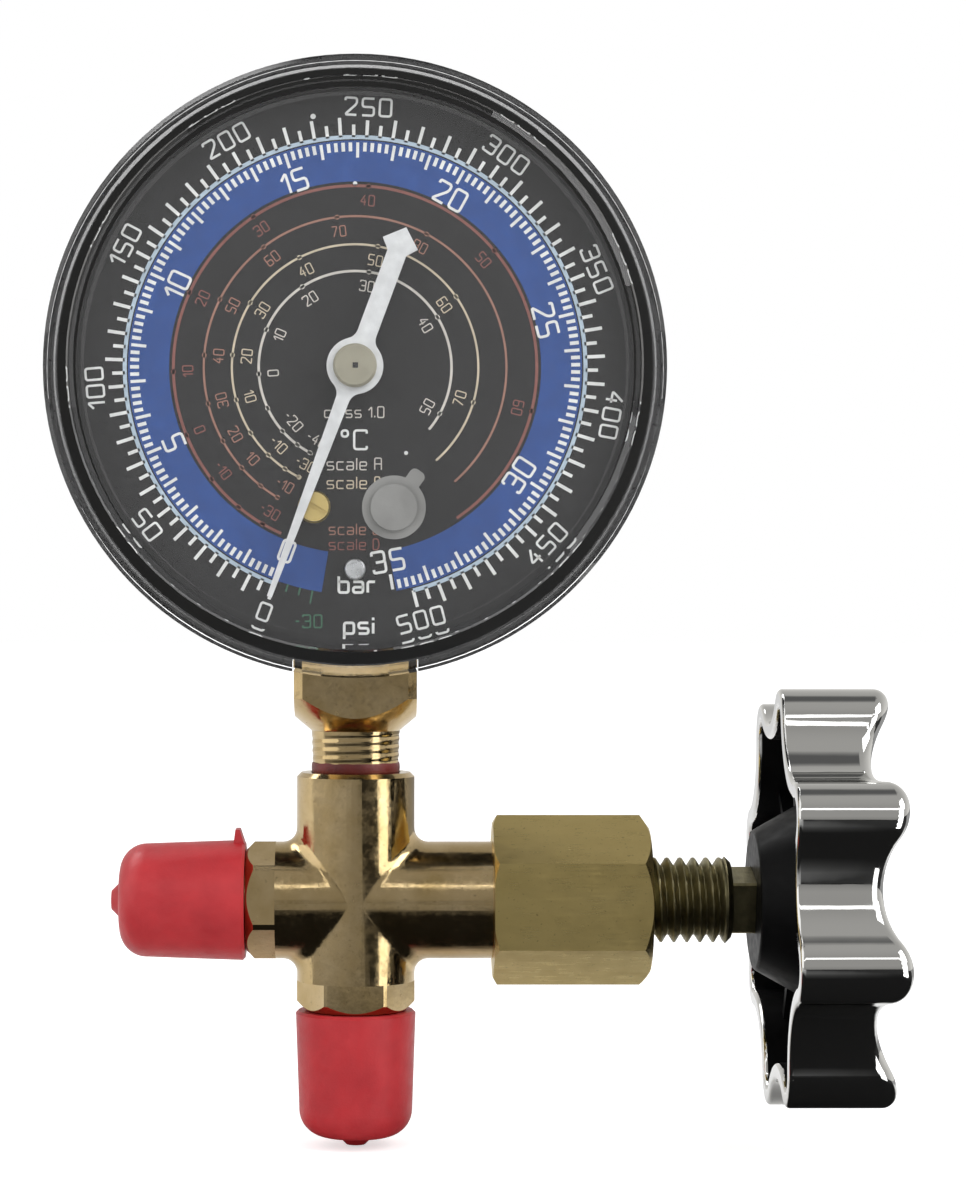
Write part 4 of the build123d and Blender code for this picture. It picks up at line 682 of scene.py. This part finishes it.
class Sky:
    """The studio room as a world: brightness by direction."""

    def __init__(self):
        self.world = bpy.data.worlds.new("studio")
        self.world.use_nodes = True
        self.tree = self.world.node_tree
        self.way = self.node("ShaderNodeTexCoord").outputs["Generated"]

    node = Recipe.node
    span = Recipe.span
    math = Recipe.math
    mix = Recipe.mix

    def towards(self, way, outer, inner):
        """1 where a direction lies within the inner angle of another one, 0 beyond the outer, in degrees."""
        inputs = {0: self.way, 1: Vector(way).normalized()}
        cosine = self.node("ShaderNodeVectorMath", inputs, operation="DOT_PRODUCT").outputs["Value"]
        return self.span(cosine, math.cos(math.radians(outer)), math.cos(math.radians(inner)))

    def ramp(self, value, stops):
        """A grey that changes with a value, through pairs of place and level."""
        made = self.node("ShaderNodeValToRGB", {0: value})
        elements = made.color_ramp.elements
        elements[0].position = stops[0][0]
        elements[1].position = stops[-1][0]
        for place, _ in stops[1:-1]:
            elements.new(place)
        for element, (_, level) in zip(elements, stops):
            element.color = (level, level * 0.985, level * 0.95, 1.0)
        return made.outputs["Color"]


def set_world():
    """An even sky for the light. Metal mirrors it white low behind, dimmer above and towards the camera."""
    sky = Sky()
    split = sky.node("ShaderNodeSeparateXYZ", {0: sky.way})
    front_levels = ((0.0, 0.25), (0.08, 0.31), (0.18, 0.35), (0.6, 0.34), (0.95, 0.40))
    rear_levels = ((0.0, 0.78), (0.25, 0.7), (0.7, 0.5), (0.95, 0.40))
    front = sky.ramp(split.outputs["Z"], front_levels)
    rear = sky.ramp(split.outputs["Z"], rear_levels)
    around = sky.mix(sky.span(split.outputs["Y"], -0.75, 0.30), front, rear)
    # Painted dark reflection: a dim disc straight overhead that only reflections see
    overhead = sky.mix(sky.towards((0, 0.08, 1), 19, 11), around, (0.11, 0.11, 0.11, 1.0))
    # Painted highlight: a small bright patch, high behind on the left, that only reflections see, for glints
    # on the cover's shoulder
    mirrored = sky.mix(sky.towards((-0.45, 0.31, 0.84), 20, 13), overhead, (4.0, 4.0, 4.0, 1.0))
    path = sky.node("ShaderNodeLightPath")
    light = sky.mix(path.outputs["Is Glossy Ray"], (0.68, 0.68, 0.68, 1.0), mirrored)
    seen = sky.math("MAXIMUM", path.outputs["Is Camera Ray"], path.outputs["Is Transmission Ray"])
    color = sky.mix(seen, light, (1.0, 1.0, 1.0, 1.0))
    sky.tree.links.new(color, sky.tree.nodes["Background"].inputs["Color"])
    bpy.context.scene.world = sky.world


def set_floor():
    """The floor just under the lowest cap."""
    size, height = 4.0, -0.0024
    corners = [(-size, -size, height), (size, -size, height), (size, size, height), (-size, size, height)]
    mesh = bpy.data.meshes.new("floor")
    mesh.from_pydata(corners, [], [(0, 1, 2, 3)])
    floor = bpy.data.objects.new("floor", mesh)
    floor.data.materials.append(floor_material())
    bpy.context.scene.collection.objects.link(floor)


def set_reflector():
    """A narrow white card in front on the right, which only shows mirrored in metal and glass."""
    made = Recipe("white_card", (0.0, 0.0, 0.0, 1.0), sockets={"Emission Color": (1.0, 1.0, 1.0, 1.0)})
    # Painted highlight: the card glows, lights nothing and is seen only mirrored, as the bright streak on
    # the brass
    made.set("Emission Strength", 2.5)
    left, right, low, high = Vector((0.083, -0.083)), Vector((0.113, -0.053)), -0.002, 0.075
    corners = [(*left, low), (*right, low), (*right, high), (*left, high)]
    mesh = bpy.data.meshes.new("white_card")
    mesh.from_pydata(corners, [], [(0, 1, 2, 3)])
    mesh.materials.append(made.material)
    card = bpy.data.objects.new("white_card", mesh)
    card.visible_camera = False
    card.visible_diffuse = False
    card.visible_shadow = False
    card.visible_transmission = False
    bpy.context.scene.collection.objects.link(card)


def lamp(name, azimuth, elevation, size, power):
    """A softbox a metre from the object: degrees to the right of the camera and up, sizes in metres."""
    turn, lift = math.radians(azimuth), math.radians(elevation)
    target = Vector((0.02, 0, 0.06))
    way = Vector((math.sin(turn) * math.cos(lift), -math.cos(turn) * math.cos(lift), math.sin(lift)))
    data = bpy.data.lights.new(name, "AREA")
    data.shape = "RECTANGLE"
    data.size, data.size_y = size
    data.energy = power
    made = bpy.data.objects.new(name, data)
    made.location = target + way
    made.rotation_mode = "QUATERNION"
    made.rotation_quaternion = (-way).to_track_quat("-Z", "Y")
    bpy.context.scene.collection.objects.link(made)


def set_camera():
    """The photograph's view: level, from the front, with the frame shifted sideways."""
    data = bpy.data.cameras.new("camera")
    camera = bpy.data.objects.new("camera", data)
    camera.location = (0.00223, -0.350, 0.06066)
    camera.rotation_euler = (math.radians(90), 0, 0)
    data.sensor_width = 36.0
    data.lens = 90.82
    data.shift_x = 0.0904
    data.clip_start, data.clip_end = 0.01, 20.0
    bpy.context.scene.collection.objects.link(camera)
    bpy.context.scene.camera = camera


dress_nodes()
print_dial()
thread_pieces()
sealant_bead()
blacken_handwheel()
dress_cover()
set_floor()
set_world()
set_reflector()
lamp("top_strip", 0, 31, (1.6, 0.09), 0.7)
lamp("right_softbox", 55, 35, (0.6, 0.6), 4.0)
lamp("left_softbox", -75, 25, (1.0, 1.0), 2.2)
set_camera()
bpy.context.scene.view_settings.view_transform = "Standard"
